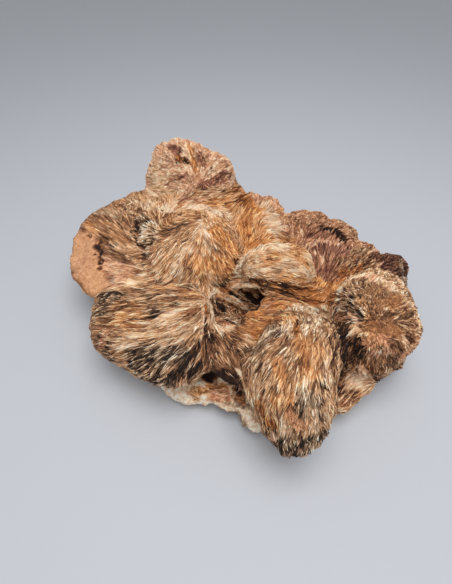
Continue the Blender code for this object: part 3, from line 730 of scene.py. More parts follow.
# ---- locks ----
LOCK_CLOSENESS = 0.55          # locks in the room that one fills
NEIGHBOURS = 10                # locks tried at each point
FLATNESS = 2                   # how much less height counts than width in that
LOCK_EDGE = 0.5                # how far in a lock reaches its full height, in half widths
LOCK_UNEVEN = 0.8              # how unevenly the locks lie, in mm
LOCK_LEAST = 0.5               # the lowest lock's height, as a share of its coat's
FOOT_RISE, TIP_RISE = 0.3, 0.8  # a lock's height at its foot, and what its tip has on top
STREAK = (1.1, 7.0)            # width and length of the streaks of shade within a lock
LOCK_STEP = 7.0                # sets each lock's streaks apart from the next one's
RUN = 0.5                      # how far two colours run into each other, in lock lengths,
RUN_LIMIT = 4.0                # and at most this far

# ---- shades ----
BLOTCHES = ((0.5, 7), (0.5, 3))  # share and size of each layer of blotches
BLOTCH_CONTRAST = 0.45         # the blotches' share of a colour's contrast
HUE_SIZE = 8                   # over what size the hues wander,
HUE_WANDER, HUE_LEAST = 0.22, 0.3  # how far, and what is added to a hue's own share for it
HUE_SPREAD = 0.06              # how far single crystals' hues differ
PAINTED_UNDER_SHADE = 0.30              # painted shade: how much darker the stone is under crystals, and what the middle of a lock has back of that
UNDER_EDGE = 0.18              # and what the middle of a lock has back of that
STREAK_SHARE = 1.0             # the streaks' share of a crystal's shade, and its lock's and own
LOCK_SHARE = 0.3
OWN_SHARE = 0.6
GROOVE_SHADE = 0.22                  # painted shade: how much darker the grooves between locks are, for each mm of rise, and how far in from the edge that turns to lighter
GROOVE_EDGE = 0.6              # rise, and how far in from the edge that turns to lighter
GLARE, GLARE_SHARE = 0.82, 0.5  # the shade above which crystals are toned down, and by how much

# ---- single crystals ----
CRYSTALS = 136000
CRYSTAL_PIECES = 5
FIRST_HEIGHT, FULL_HEIGHT = 1, 4   # no crystals stand below the one, and all above the other
LOCK_LENGTHS = (0.75, 0.5)     # a lock's crystals' length and lift, as the least and the rest
LOCK_LIFTS = (0.2, 0.8)
OWN_LENGTHS = (0.5, 1.2)       # a crystal's own length, width and lift, as its least and most
OWN_WIDTHS = (0.6, 1.35)
OWN_LIFTS = (0.3, 1.3)
OWN_STRAY = 0.6                # a crystal's share of its coat's stray
TIP_COVER = 1.5                # the chance of a crystal, for a full cover under its tip
ROOT_DEPTH = 0.6               # how deep a crystal's root sits in the stone
CLUMP = 0.35                   # how far crystals lean in to their lock's tip,
CLUMP_AT = 1.2                 # which is this many half lengths from its middle
FLOOR_GAP = 0.4                # crystals end this far above the resting face

# ---- crystals of the tresses ----
TRESS_CRYSTAL = Coat(1.0, 5, 0.45, 0.45, 0.5, 16, 0, 0, 0, 0, 0, 0)
TRESS_LENGTHS = (0.6, 1.3)     # a crystal's own length and width, as its least and most
TRESS_WIDTHS = (0.7, 1.4)
TRESS_END = 0.4                # a tress's width at its ends, as a share of its middle's
TRESS_SIDES, TRESS_SIDE_TONE = 3, 0.5  # how many light sides it has, and how light they are
TRESS_OWN_TONE = 0.9           # how far single crystals differ, as a share of the contrast

# ---- the random draws' seed, and the keys of the fixed noises and of each lock's numbers ----
SEED = 7
STIR = np.uint64(0x9E3779B97F4A7C15)
NOISE = {"edges": 11, "lumps": 21, "creases": 23, "blotches": 31, "hues": 41, "streaks": 51}
LOCK_KEYS = {"size": 2, "level": 3, "tone": 4, "length": 5, "lift": 6, "run": 8}
TINY = 1e-9


# ---- sums ----


def unit(vectors):
    return vectors / np.maximum(np.linalg.norm(vectors, axis=-1, keepdims=True), TINY)


def laid_flat(way, normal):
    """The way, laid flat on a surface with this normal."""
    return unit(way - (way * normal).sum(-1, keepdims=True) * normal)


def from_line(points, start, end):
    """How far each point is from the line between two points."""
    run = end - start
    share = np.clip((points - start) @ run / max(run @ run, TINY), 0, 1)
    return np.linalg.norm(points - start - share[:, None] * run, axis=1)


def scatter(*keys):
    """A fixed number from 0 to 1 for each row of whole-number keys."""
    mixed = np.zeros(np.broadcast(*keys).shape, np.uint64)
    for key in keys:
        mixed = (mixed ^ np.asarray(key).astype(np.int64).astype(np.uint64)) * STIR
        mixed = mixed ^ (mixed >> np.uint64(29))
    return (mixed >> np.uint64(11)) / 2.0**53


def of_lock(lock, what):
    """Each lock's own fixed number, from 0 to 1."""
    return scatter(lock, LOCK_KEYS[what])


def soft_noise(points, size, seed):
    """Smooth unevenness from -1 to 1, with bumps of this size."""
    place = points / size
    low = np.floor(place).astype(int)
    share = place - low
    share = share * share * (3 - 2 * share)
    total = np.zeros(len(points))
    for corner in product((0, 1), repeat=3):
        weight = np.where(corner, share, 1 - share).prod(1)
        total += weight * scatter(*(low + corner).T, seed)
    return 2 * total - 1


def noise_rows(points, size, seed):
    """Three soft noises side by side."""
    return np.stack([soft_noise(points, size, seed + k) for k in range(3)], 1)


def noise_layers(points, layers, seed, under=0):
    """Soft noises on top of each other, each with its share and size."""
    rows = enumerate(layers)
    return sum((share * soft_noise(points, size, seed + k) for k, (share, size) in rows), under)


# ---- meshes ----


def linked(name, data):
    thing = bpy.data.objects.new(name, data)
    bpy.context.scene.collection.objects.link(thing)
    return thing


def numbers(items, field, width):
    """A mesh's values as rows."""
    found = np.empty(len(items) * width)
    items.foreach_get(field, found)
    return found.reshape(-1, width)


def places(mesh):
    """A mesh's points, in millimetres on the fans' axes."""
    return numbers(mesh.vertices, "co", 3) / MM + CENTRE


def put_places(mesh, points):
    """Gives a mesh its points, from millimetres on the fans' axes."""
    mesh.vertices.foreach_set("co", ((points - CENTRE) * MM).ravel())


def add_numbers(mesh, name, values):
    """A point attribute, of single numbers or of rows of three."""
    kind, field = ("FLOAT", "value") if values.ndim == 1 else ("FLOAT_VECTOR", "vector")
    layer = mesh.attributes.new(name, kind, "POINT")
    layer.data.foreach_set(field, values.astype(np.float32).ravel())


def mesh_triangles(mesh):
    mesh.calc_loop_triangles()
    corners = np.empty(len(mesh.loop_triangles) * 3, np.int32)
    mesh.loop_triangles.foreach_get("vertices", corners)
    return corners.reshape(-1, 3)


def triangle_sizes(mesh):
    """Each triangle's area and middle."""
    points = places(mesh)
    a, b, c = (points[mesh_triangles(mesh)[:, k]] for k in range(3))
    return np.linalg.norm(np.cross(b - a, c - a), axis=1) / 2, (a + b + c) / 3


def sampled(mesh, weights, count, draw):
    """Random places on a mesh, with their normals; the weights are the faces'."""
    corners = mesh_triangles(mesh)
    points, normals = places(mesh), numbers(mesh.vertices, "normal", 3)
    chosen = draw.choice(len(weights), count, p=weights / weights.sum())
    share = draw.dirichlet((1, 1, 1), count)[:, :, None]
    mixed = [(rows[corners[chosen]] * share).sum(1) for rows in (points, normals)]
    return mixed[0], unit(mixed[1])


def surface_tree(mesh):
    """A search tree over a mesh, in millimetres on the fans' axes."""
    return BVHTree.FromPolygons(places(mesh).tolist(), [tuple(f.vertices) for f in mesh.polygons])


def nearest_on(tree, points):
    """The nearest points on the surface, and its normals there."""
    found = [tree.find_nearest(Vector(point)) for point in points]
    return np.array([f[0] for f in found]), np.array([f[1] for f in found])


def as_piece(thing):
    """Says what the scene's tables need to know of a piece of the cluster."""
    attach(thing, BODY)
    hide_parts(NODE)


# ---- the fans' shapes ----


def fan_axes(fan):
    """The fan's own x, y and face directions, as the rows of a matrix."""
    face = np.array([math.tan(math.radians(a)) for a in fan.lean] + [1.0])
    face /= np.linalg.norm(face)
    across = np.array([1.0, 0.0, 0.0]) - face[0] * face
    across /= np.linalg.norm(across)
    return np.array([across, np.cross(face, across), face])


def to_fan(fan, points):
    """Points on the fan's own axes, from its middle."""
    return (points - np.array(fan.middle)) @ fan_axes(fan).T


def reach_at(fan, angle):
    """The outline's distance at these angles, on a smooth closed curve through the reaches."""
    count = len(fan.reach)
    place = (angle / (2 * math.pi) * count) % count
    step = place.astype(int) % count
    share = place - place.astype(int)
    before, start, end, after = (
        np.array(fan.reach, float)[(step + k) % count] for k in (-1, 0, 1, 2)
    )
    slope_in, slope_out = (end - before) / 2, (after - start) / 2
    return (
        start
        + slope_in * share
        + (3 * (end - start) - 2 * slope_in - slope_out) * share**2
        + (2 * (start - end) + slope_in + slope_out) * share**3
    )


def depth_in(fan, points):
    """How far outside the fan each point is, or inside where it is negative."""
    local = to_fan(fan, points)
    run = np.hypot(local[:, 0], local[:, 1])
    reach = reach_at(fan, np.arctan2(local[:, 1], local[:, 0]))
    share = run / reach
    rise = local[:, 2] - fan.dish * np.minimum(share, DISH_END) ** 2
    height = np.abs(rise) / np.where(rise > 0, fan.up, fan.down)
    size = (share**DOME_SQUARENESS + height**2) ** (1 / DOME_SQUARENESS)
    return (size - 1) * np.minimum(reach, np.where(rise > 0, fan.up, fan.down))


# ---- the marks, as the camera sees them on the stone ----


def seen(tree, spot):
    """The point of the stone that the camera sees at a spot of its picture."""
    across = (spot[0] - PICTURE[0] / 2) / VIEW_PX
    down = (spot[1] - PICTURE[1] / 2) / VIEW_PX
    lower, level = math.sin(math.radians(CAMERA_PITCH)), math.cos(math.radians(CAMERA_PITCH))
    way = Vector((across, level - down * lower, -lower - down * level)).normalized()
    hit = tree.ray_cast(Vector(CAMERA_PLACE), way)[0]
    if hit is None:
        hit = tree.find_nearest(Vector(CAMERA_PLACE) + way * SIGHT)[0]
    return np.array(hit)


Marks = namedtuple("Marks", "patches strands tresses")


def marks_on(mesh):
    """The patches', strands' and tresses' lines, as pairs of points of the stone."""
    tree = surface_tree(mesh)
    lines = Marks(
        patches=[(patch.start, patch.end) for patch in PATCHES],
        strands=[line for runs in STRANDS.values() for run in runs for line in zip(run, run[1:])],
        tresses=[(tress.start, tress.end) for tress in TRESSES],
    )
    return Marks(*([(seen(tree, start), seen(tree, end)) for start, end in rows] for rows in lines))


# ---- what each point of the surface is like ----


Ground = namedtuple("Ground", "seam way finish")
# A finish is a row of numbers: its coat's, then its colour's.
Finish = namedtuple("Finish", Coat._fields + Colour._fields)
COLOUR_COLUMNS = slice(len(Coat._fields), None)
HUE_COLUMNS = slice(Finish._fields.index("grey"), None)


def look(coat, colour):
    """The finish with this coat and this colour."""
    return np.array([*COATS[coat], *COLOURS[colour]], float)


def lay_patches(points, finish, marks):
    """Lays the patches over the fans' own finishes, each over the ones before it."""
    moved = points.copy()
    for k, (reach, size) in enumerate(PATCH_WANDER):
        moved += reach * noise_rows(points, size, NOISE["edges"] + 3 * k)
    for patch, (start, end) in zip(PATCHES, marks.patches):
        far = from_line(moved, start, end) / patch.half_width
        hold = np.clip((1 - far) / PATCH_EDGE + 0.5, 0, 1)
        held = hold > 0
        finish[held] += hold[held, None] * (look(patch.coat, patch.colour) - finish[held])


def ground_at(points, marks):
    """How near each point is to a seam between two fans, the way its fan spreads there, and
    its finish."""
    depth = np.stack([
        np.abs(depth_in(fan, points)) if fan.name in FAN_LOOKS else np.full(len(points), FAR_AWAY)
        for fan in FANS
    ])
    owner = depth.argmin(0)
    nearest, second = np.partition(depth, 1, axis=0)[:2]
    way = np.zeros((len(points), 3))
    finish = np.zeros((len(points), len(Finish._fields)))
    for k, fan in enumerate(FANS):
        mine = owner == k
        local = to_fan(fan, points[mine]) - np.array([*fan.root, 0])
        local[:, 2] = 0
        way[mine] = unit(local) @ fan_axes(fan)
        if fan.name in FAN_LOOKS:
            finish[mine] = look(*FAN_LOOKS[fan.name])
    lay_patches(points, finish, marks)
    return Ground(second - nearest, way, finish)


def way_at(points, normals, ground, marks):
    """The way the crystals run at each point, from the strands near it."""
    way = ground.way * FAN_PULL
    for start, end in marks.strands:
        pull = np.exp(-((from_line(points, start, end) / STRAND_REACH) ** 2))
        way = way + pull[:, None] * unit(end - start)
    return laid_flat(way, normals)


# ---- locks of crystals ----


Locks = namedtuple("Locks", "place normal way side length width tree")
Spot = namedtuple("Spot", "lock along across edge")


def lay_locks(mesh, marks, draw):
    """Locks scattered over the surface, each lying the way its crystals run."""
    area, middle = triangle_sizes(mesh)
    finish = Finish(*ground_at(middle, marks).finish.T)
    weights = area / (finish.lock_length * finish.lock_width)
    count = int(weights.sum() / LOCK_CLOSENESS)
    place, normal = sampled(mesh, weights, count, draw)
    ground = ground_at(place, marks)
    finish = Finish(*ground.finish.T)
    way = way_at(place, normal, ground, marks)
    turn = draw.standard_normal(count) * np.radians(finish.stray)
    side = np.cross(way, normal)
    way, side = (
        way * np.cos(turn)[:, None] + side * np.sin(turn)[:, None],
        side * np.cos(turn)[:, None] - way * np.sin(turn)[:, None],
    )
    tree = KDTree(count)
    for k, point in enumerate(place):
        tree.insert(point, k)
    tree.balance()
    return Locks(
        place, normal, way, side, finish.lock_length / 2, finish.lock_width / 2, tree,
    )


def lock_at(locks, points):
    """The lock each point lies in, how far along it and across it, and how far from its edge."""
    near = np.array([[hit[1] for hit in locks.tree.find_n(p, NEIGHBOURS)] for p in points])
    off = points[:, None] - locks.place[near]
    along = (off * locks.way[near]).sum(-1) / locks.length[near]
    across = (off * locks.side[near]).sum(-1) / locks.width[near]
    above = (off * locks.normal[near]).sum(-1) / locks.width[near] / FLATNESS
    far = np.sqrt(along**2 + across**2 + above**2)
    order = far.argsort(1)
    rows = np.arange(len(points))
    first, second = order[:, 0], order[:, 1]
    edge = np.clip((far[rows, second] - far[rows, first]) / LOCK_EDGE, 0, 1)
    return Spot(near[rows, first], along[rows, first], across[rows, first], edge)


def in_lock(spot, locks):
    """Each point's place across and along its lock, in millimetres."""
    return spot.across * locks.width[spot.lock], spot.along * locks.length[spot.lock]


def streak_at(spot, locks):
    """The streaks of light and dark in a lock, from -1 to 1."""
    across, along = in_lock(spot, locks)
    flow = [across / STREAK[0], along / STREAK[1], spot.lock * LOCK_STEP]
    return soft_noise(np.stack(flow, 1), 1, NOISE["streaks"])


def run_together(points, spot, locks, marks):
    """Each point's finish, with its colours taken a little way off along its lock, so that two
    colours meet in streaks, and the place they are taken from."""
    finish = ground_at(points, marks).finish
    reach = np.minimum(RUN * locks.length[spot.lock], RUN_LIMIT)
    off = (2 * of_lock(spot.lock, "run") - 1) * reach
    there = points + locks.way[spot.lock] * off[:, None]
    finish[:, COLOUR_COLUMNS] = ground_at(there, marks).finish[:, COLOUR_COLUMNS]
    return finish, there


def patchy(points, finish):
    """The finish's own unevenness of shade, in soft blotches."""
    blotch = noise_layers(points, BLOTCHES, NOISE["blotches"])
    return finish.shade + BLOTCH_CONTRAST * finish.contrast * blotch


def hues_of(points, finish):
    """The shares of grey, orange and rose, a little uneven."""
    hues = finish[:, HUE_COLUMNS]
    wander = noise_rows(points, HUE_SIZE, NOISE["hues"])
    return np.clip(hues + HUE_WANDER * wander * (HUE_LEAST + hues), 0, 1)


# ---- the body of the cluster ----


def fine_surface():
    """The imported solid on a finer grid, with its facets rounded off."""
    rough = linked("rough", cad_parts[NODE].data.copy())
    even = rough.modifiers.new("even", "REMESH")
    even.mode = "VOXEL"
    even.voxel_size = GRAIN * MM
    smooth = rough.modifiers.new("smooth", "SMOOTH")
    smooth.iterations = ROUND_OFF
    graph = bpy.context.evaluated_depsgraph_get()
    mesh = bpy.data.meshes.new_from_object(rough.evaluated_get(graph))
    bpy.data.objects.remove(rough)
    return mesh


def relief_at(points, spot, finish, seam):
    """How far the surface stands out at each point: its lock, its lumps and the filled seams."""
    climb = np.clip(0.5 + spot.along / 2, 0, 1)
    level = (of_lock(spot.lock, "level") - 0.5) * LOCK_UNEVEN * np.minimum(finish.lock_rise, 1)
    size = LOCK_LEAST + (1 - LOCK_LEAST) * of_lock(spot.lock, "size")
    lock = finish.lock_rise * size * spot.edge * (FOOT_RISE + TIP_RISE * climb) + level
    creases = 1 - CREASE_SHARPNESS * np.abs(soft_noise(points, CREASE_SIZE, NOISE["creases"]))
    lumps = noise_layers(points, LUMPS, NOISE["lumps"], under=CREASE_SHARE * creases)
    height = lock + finish.lumps * lumps - finish.sink - SINK
    gap = np.clip(SEAM_FILL - seam, 0, None)
    return height + gap**2 / (4 * SEAM_FILL)


def make_body(mesh, marks, locks):
    """The body of the cluster, feathered into locks and given its finish's numbers."""
    points, normals = places(mesh), numbers(mesh.vertices, "normal", 3)
    spot = lock_at(locks, points)
    rows, there = run_together(points, spot, locks, marks)
    finish = Finish(*rows.T)
    height = relief_at(points, spot, finish, ground_at(points, marks).seam)
    fade = np.clip(points[:, 2] / LEVEL_FADE, 0, 1)
    moved = points + normals * (height * fade)[:, None]
    moved[:, 2] = np.maximum(moved[:, 2], 0)
    put_places(mesh, moved)
    mesh.update()
    mesh.shade_smooth()
    tone = (of_lock(spot.lock, "tone") - 0.5) * finish.contrast
    # painted shade: the stone under the crystals is darkened, most near the locks' edges
    under = finish.cover * (tone - PAINTED_UNDER_SHADE + UNDER_EDGE * spot.edge)
    add_numbers(mesh, "shade", patchy(there, finish) + under)
    add_numbers(mesh, "contrast", finish.contrast)
    add_numbers(mesh, "grit", finish.grit)
    add_numbers(mesh, "hues", hues_of(there, rows))
    add_numbers(mesh, "flow", np.stack([*in_lock(spot, locks), spot.lock * LOCK_STEP], 1))
    mesh.materials.clear()
    mesh.materials.append(body_material())
    as_piece(linked("crystal_body", mesh))


# ---- single crystals ----
# A crystal is a root, a three-sided waist (left, right, ridge) and a tip.
CRYSTAL_FACES = np.array([(0, 3, 1), (0, 2, 3), (0, 1, 2), (1, 3, 4), (3, 2, 4), (2, 1, 4)])
CRYSTAL_MAP = np.array([(0.5, 0.08), (0.12, 0.5), (0.88, 0.5), (0.5, 0.5), (0.5, 0.92)])
ALONG = np.array((0, 0.5, 0.5, 0.5, 1))
WAIST_RISE = 0.45              # the ridge's height, as a share of the width
MAP_ROW = 4                    # crystals within this many mm lie side by side on the map

Growth = namedtuple("Growth", "point normal rows there spot length width lift turn")


def by_lock(lock, what, sizes):
    """A size that a lock's crystals share, from its least and what comes on top."""
    least, rest = sizes
    return least + rest * of_lock(lock, what)


def plan_crystals(mesh, marks, locks, draw):
    """Where the crystals stand on the surface, and each one's size and lean."""
    area, middle = triangle_sizes(mesh)
    finish = Finish(*ground_at(middle, marks).finish.T)
    above = np.clip((middle[:, 2] - FIRST_HEIGHT) / (FULL_HEIGHT - FIRST_HEIGHT), 0, 1)
    weights = area * finish.cover * above / (finish.length * finish.width)
    point, normal = sampled(mesh, weights, CRYSTALS, draw)
    spot = lock_at(locks, point)
    rows, there = run_together(point, spot, locks, marks)
    finish = Finish(*rows.T)
    length = finish.length * by_lock(spot.lock, "length", LOCK_LENGTHS)
    length = length * draw.uniform(*OWN_LENGTHS, CRYSTALS)
    width = finish.width * draw.uniform(*OWN_WIDTHS, CRYSTALS)
    lift = finish.lift * by_lock(spot.lock, "lift", LOCK_LIFTS)
    lift = lift * draw.uniform(*OWN_LIFTS, CRYSTALS)
    turn = draw.standard_normal(CRYSTALS) * np.radians(finish.stray) * OWN_STRAY
    return Growth(point, normal, rows, there, spot, length, width, lift, turn)


def crystal_points(tree, locks, growth):
    """Five points for each crystal, laid along the surface and lifted to its tip."""
    lock = growth.spot.lock
    aim = locks.place[lock] + locks.way[lock] * (CLUMP_AT * locks.length[lock][:, None])
    way = locks.way[lock] * (1 - CLUMP) + unit(aim - growth.point) * CLUMP
    way = laid_flat(way, growth.normal)
    side = np.cross(way, growth.normal)
    way = way * np.cos(growth.turn)[:, None] + side * np.sin(growth.turn)[:, None]
    length, lift, width = (
        size[:, None] for size in (growth.length, growth.lift, growth.width)
    )
    waist_at = Finish(*growth.rows.T).waist[:, None]
    root, root_normal = nearest_on(tree, growth.point - way * length * waist_at)
    tip, tip_normal = nearest_on(tree, growth.point + way * length * (1 - waist_at))
    waist = growth.point + growth.normal * lift * waist_at
    across = unit(np.cross(tip - root, growth.normal)) * width / 2
    return np.stack([
        root - root_normal * ROOT_DEPTH,
        waist - across,
        waist + across,
        waist + growth.normal * width * WAIST_RISE,
        tip + tip_normal * lift,
    ], 1)


def coat_crystals(mesh, marks, locks, draw):
    """The crystals that cover the body: their five points each, their shade and their hues."""
    growth = plan_crystals(mesh, marks, locks, draw)
    points = crystal_points(surface_tree(mesh), locks, growth)
    points[..., 2] = np.maximum(points[..., 2], FLOOR_GAP)
    finish = Finish(*growth.rows.T)
    cover = Finish(*ground_at(points[:, 4], marks).finish.T).cover
    keep = draw.uniform(0, 1, len(points)) < cover * TIP_COVER
    tone = (
        LOCK_SHARE * (2 * of_lock(growth.spot.lock, "tone") - 1)
        + STREAK_SHARE * streak_at(growth.spot, locks)
        + OWN_SHARE * draw.uniform(-1, 1, len(points))
    )
    shade = patchy(growth.there, finish) + finish.contrast * tone
    # painted shade in the grooves between locks, deeper where the locks rise more
    shade += GROOVE_SHADE * finish.lock_rise * (growth.spot.edge - GROOVE_EDGE)
    shade -= GLARE_SHARE * np.clip(shade - GLARE, 0, None)
    hues = hues_of(growth.there, growth.rows)
    hues = np.clip(hues + draw.normal(0, HUE_SPREAD, hues.shape), 0, 1)
    return points[keep], shade[keep], hues[keep]


def tress_crystals(tress, line, draw):
    """The crystals of one tress: their five points each, their shade and their hues."""
    count, coat = tress.crystals, TRESS_CRYSTAL
    start, end = line
    share = draw.uniform(0, 1, count)[:, None]
    up = np.array([0.0, 0.0, 1.0])
    middle = start + (end - start) * share + up * tress.bow * 4 * share * (1 - share)
    way = unit(end - start + up * tress.bow * 4 * (1 - 2 * share))
    side = unit(np.cross(way, up))
    rise = np.cross(side, way)
    around = draw.uniform(0, 2 * math.pi, count)[:, None]
    taper = TRESS_END + (1 - TRESS_END) * np.sqrt(4 * share * (1 - share))
    out = np.sqrt(draw.uniform(0, 1, count))[:, None] * tress.half_width * taper
    middle = middle + (side * np.cos(around) + rise * np.sin(around)) * out
    stray = draw.standard_normal((2, count, 1)) * math.radians(coat.stray)
    way = unit(way + side * stray[0] + rise * stray[1])
    length = coat.length * draw.uniform(*TRESS_LENGTHS, count)[:, None]
    width = coat.width * draw.uniform(*TRESS_WIDTHS, count)[:, None]
    points = np.stack([
        middle - way * length * coat.waist,
        middle - side * width / 2,
        middle + side * width / 2,
        middle + rise * width * WAIST_RISE,
        middle + way * length * (1 - coat.waist) + rise * coat.lift,
    ], 1)
    colour = COLOURS[tress.colour]
    own = draw.uniform(-TRESS_OWN_TONE, TRESS_OWN_TONE, count)
    tone = TRESS_SIDE_TONE * np.sin(TRESS_SIDES * around[:, 0]) + own
    hues = np.tile([colour.grey, colour.orange, colour.rose], (count, 1))
    return points, colour.shade + colour.contrast * tone, hues


def crystal_mesh(name, points, shade, hues):
    """One mesh of many crystals, with their numbers and a map that gives each its own cell."""
    count, corners = len(points), points.shape[1]
    faces = (CRYSTAL_FACES + corners * np.arange(count)[:, None, None]).reshape(-1, 3)
    mesh = bpy.data.meshes.new(name)
    mesh.vertices.add(count * corners)
    put_places(mesh, points.reshape(-1, 3))
    mesh.loops.add(len(faces) * 3)
    mesh.loops.foreach_set("vertex_index", faces.ravel().astype(np.int32))
    mesh.polygons.add(len(faces))
    mesh.polygons.foreach_set("loop_start", np.arange(len(faces), dtype=np.int32) * 3)
    mesh.update(calc_edges=True)
    mesh.shade_flat()
    add_numbers(mesh, "shade", np.repeat(shade, corners))
    add_numbers(mesh, "hues", np.repeat(hues, corners, axis=0))
    add_numbers(mesh, "along", np.tile(ALONG, count))
    cells = math.ceil(math.sqrt(count))
    cell = np.stack([np.arange(count) % cells, np.arange(count) // cells], 1)
    spots = ((cell[:, None] + CRYSTAL_MAP[None]) / cells).reshape(-1, 2)
    layer = mesh.uv_layers.new(name="OFBake")
    layer.data.foreach_set("uv", spots[faces.ravel()].astype(np.float32).ravel())
    return mesh


def grow_crystals(mesh, marks, locks, draw):
    """Covers the body with crystals, in a few pieces that each cover all of it."""
    grown = [coat_crystals(mesh, marks, locks, draw)]
    grown += [tress_crystals(*row, draw) for row in zip(TRESSES, marks.tresses)]
    points, shade, hues = (np.concatenate(rows) for rows in zip(*grown))
    near = np.lexsort((points[:, 0, 1] // MAP_ROW, points[:, 0, 0] // MAP_ROW))
    material = crystal_material()
    for k in range(CRYSTAL_PIECES):
        chosen = near[k::CRYSTAL_PIECES]
        mesh = crystal_mesh(f"crystals_{k + 1}", points[chosen], shade[chosen], hues[chosen])
        mesh.materials.append(material)
        as_piece(linked(f"crystals_{k + 1}", mesh))


# ---- materials ----
# Each family of colours from black to white, as places on the scale of shade and sRGB values.
RAMPS = {
    "tan": ((0, (25, 13, 8)), (0.25, (108, 69, 44)), (0.5, (183, 132, 89)),
            (0.75, (245, 194, 145)), (1, (255, 255, 230))),
    "grey": ((0, (25, 18, 14)), (0.25, (93, 73, 58)), (0.5, (164, 140, 114)),
             (0.75, (235, 211, 178)), (1, (255, 255, 246))),
    "orange": ((0, (33, 13, 6)), (0.25, (126, 67, 32)), (0.5, (206, 133, 71)),
               (0.75, (255, 187, 114)), (1, (255, 254, 194))),
    "rose": ((0, (33, 16, 11)), (0.25, (120, 74, 55)), (0.5, (192, 133, 104)),
             (0.75, (254, 194, 157)), (1, (255, 255, 225))),
}
BARITE_IOR = 1.64
BARITE_SHINE = 0.2
ROOT_SHADE_TIP_LIGHT = (-0.16, 0.10)      # painted shade at a crystal's root and painted light at its tip: how its shade changes there
CRYSTAL_ROUGHNESS = (0.70, 0.48)   # where it is black, and where it is white
BODY_ROUGHNESS = (0.8, 0.55)
STREAK_STRETCH = (0.9, 0.12, 1.0)  # how finely the body's streaks lie across and along locks
STREAK_DETAIL = 3.0
STREAK_SWING = (2.4, -1.2)     # turns a noise of 0 to 1 into a swing about 0, of this size
GRAIN_FINENESS, GRAIN_DETAIL, GRAIN_ROUGHNESS = 420.0, 5.0, 0.75
GRAIN_SWING = (1.1, -0.55)
GRAIN_RELIEF = 2.5             # how much more relief the grains have than the streaks
RELIEF_STRENGTH, RELIEF_HEIGHT = 0.5, 0.0005


def linear(srgb):
    """An sRGB colour of 0 to 255 as linear light."""
    shares = [c / 255 for c in srgb]
    return [c / 12.92 if c <= 0.04045 else ((c + 0.055) / 1.055) ** 2.4 for c in shares] + [1]


def add_node(tree, kind, place, **values):
    """A node with its settings, and its sockets' values by name."""
    node = tree.nodes.new(kind)
    node.location = place
    for name, value in values.items():
        if name in node.inputs:
            node.inputs[name].default_value = value
        else:
            setattr(node, name, value)
    return node


def times_plus(tree, place, value, factor, more):
    """A value times a factor, plus another value; each is a number or a socket."""
    node = add_node(tree, "ShaderNodeMath", place, operation="MULTIPLY_ADD")
    for socket, part in zip(node.inputs, (value, factor, more)):
        if isinstance(part, float):
            socket.default_value = part
        else:
            tree.links.new(part, socket)
    return node.outputs[0]


def between(tree, place, value, ends):
    """A value from 0 to 1, laid out between two ends."""
    node = add_node(tree, "ShaderNodeMapRange", place)
    node.inputs["To Min"].default_value, node.inputs["To Max"].default_value = ends
    tree.links.new(value, node.inputs["Value"])
    return node.outputs["Result"]


def read_number(tree, name, place, output="Fac"):
    """A mesh's own number, or row of numbers, by its name."""
    return add_node(tree, "ShaderNodeAttribute", place, attribute_name=name).outputs[output]


def new_group(name, inputs, outputs):
    """A shader node group with these sockets, and its two end nodes."""
    group = bpy.data.node_groups.new(name, "ShaderNodeTree")
    for socket, kind in inputs:
        group.interface.new_socket(socket, in_out="INPUT", socket_type=kind)
    for socket, kind in outputs:
        group.interface.new_socket(socket, in_out="OUTPUT", socket_type=kind)
    return group, group.nodes.new("NodeGroupInput"), group.nodes.new("NodeGroupOutput")


def colour_group():
    """Barite's colour from its shade and its shares of grey, orange and rose."""
    if "barite colour" in bpy.data.node_groups:
        return bpy.data.node_groups["barite colour"]
    group, start, end = new_group(
        "barite colour",
        [("Shade", "NodeSocketFloat"), ("Hues", "NodeSocketVector")],
        [("Colour", "NodeSocketColor")],
    )
    hues = add_node(group, "ShaderNodeSeparateXYZ", (-400, -300))
    group.links.new(start.outputs["Hues"], hues.inputs[0])
    colour = None
    for k, stops in enumerate(RAMPS.values()):
        ramp = add_node(group, "ShaderNodeValToRGB", (-200, 300 - 250 * k))
        points = ramp.color_ramp.elements
        while len(points) < len(stops):
            points.new(0.5)
        for point, (place, srgb) in zip(points, stops):
            point.position = place
            point.color = linear(srgb)
        group.links.new(start.outputs["Shade"], ramp.inputs["Fac"])
        if colour is None:
            colour = ramp.outputs["Color"]
            continue
        mix = add_node(group, "ShaderNodeMix", (100 + 150 * k, 0), data_type="RGBA")
        group.links.new(hues.outputs[k - 1], mix.inputs[0])
        group.links.new(colour, mix.inputs[6])
        group.links.new(ramp.outputs["Color"], mix.inputs[7])
        colour = mix.outputs[2]
    group.links.new(colour, end.inputs["Colour"])
    return group


def new_material(name):
    material = bpy.data.materials.new(name)
    material.use_nodes = True
    shader = material.node_tree.nodes["Principled BSDF"]
    shader.inputs["IOR"].default_value = BARITE_IOR
    shader.inputs["Specular IOR Level"].default_value = BARITE_SHINE
    return material, material.node_tree, shader


def finish_barite(tree, shade, hues, roughness, shader):
    """Gives a material its colour from shade and hues, and its roughness from shade."""
    colour = add_node(tree, "ShaderNodeGroup", (-300, 100), node_tree=colour_group())
    tree.links.new(shade, colour.inputs["Shade"])
    tree.links.new(hues, colour.inputs["Hues"])
    tree.links.new(colour.outputs["Colour"], shader.inputs["Base Color"])
    tree.links.new(between(tree, (-300, -150), shade, roughness), shader.inputs["Roughness"])


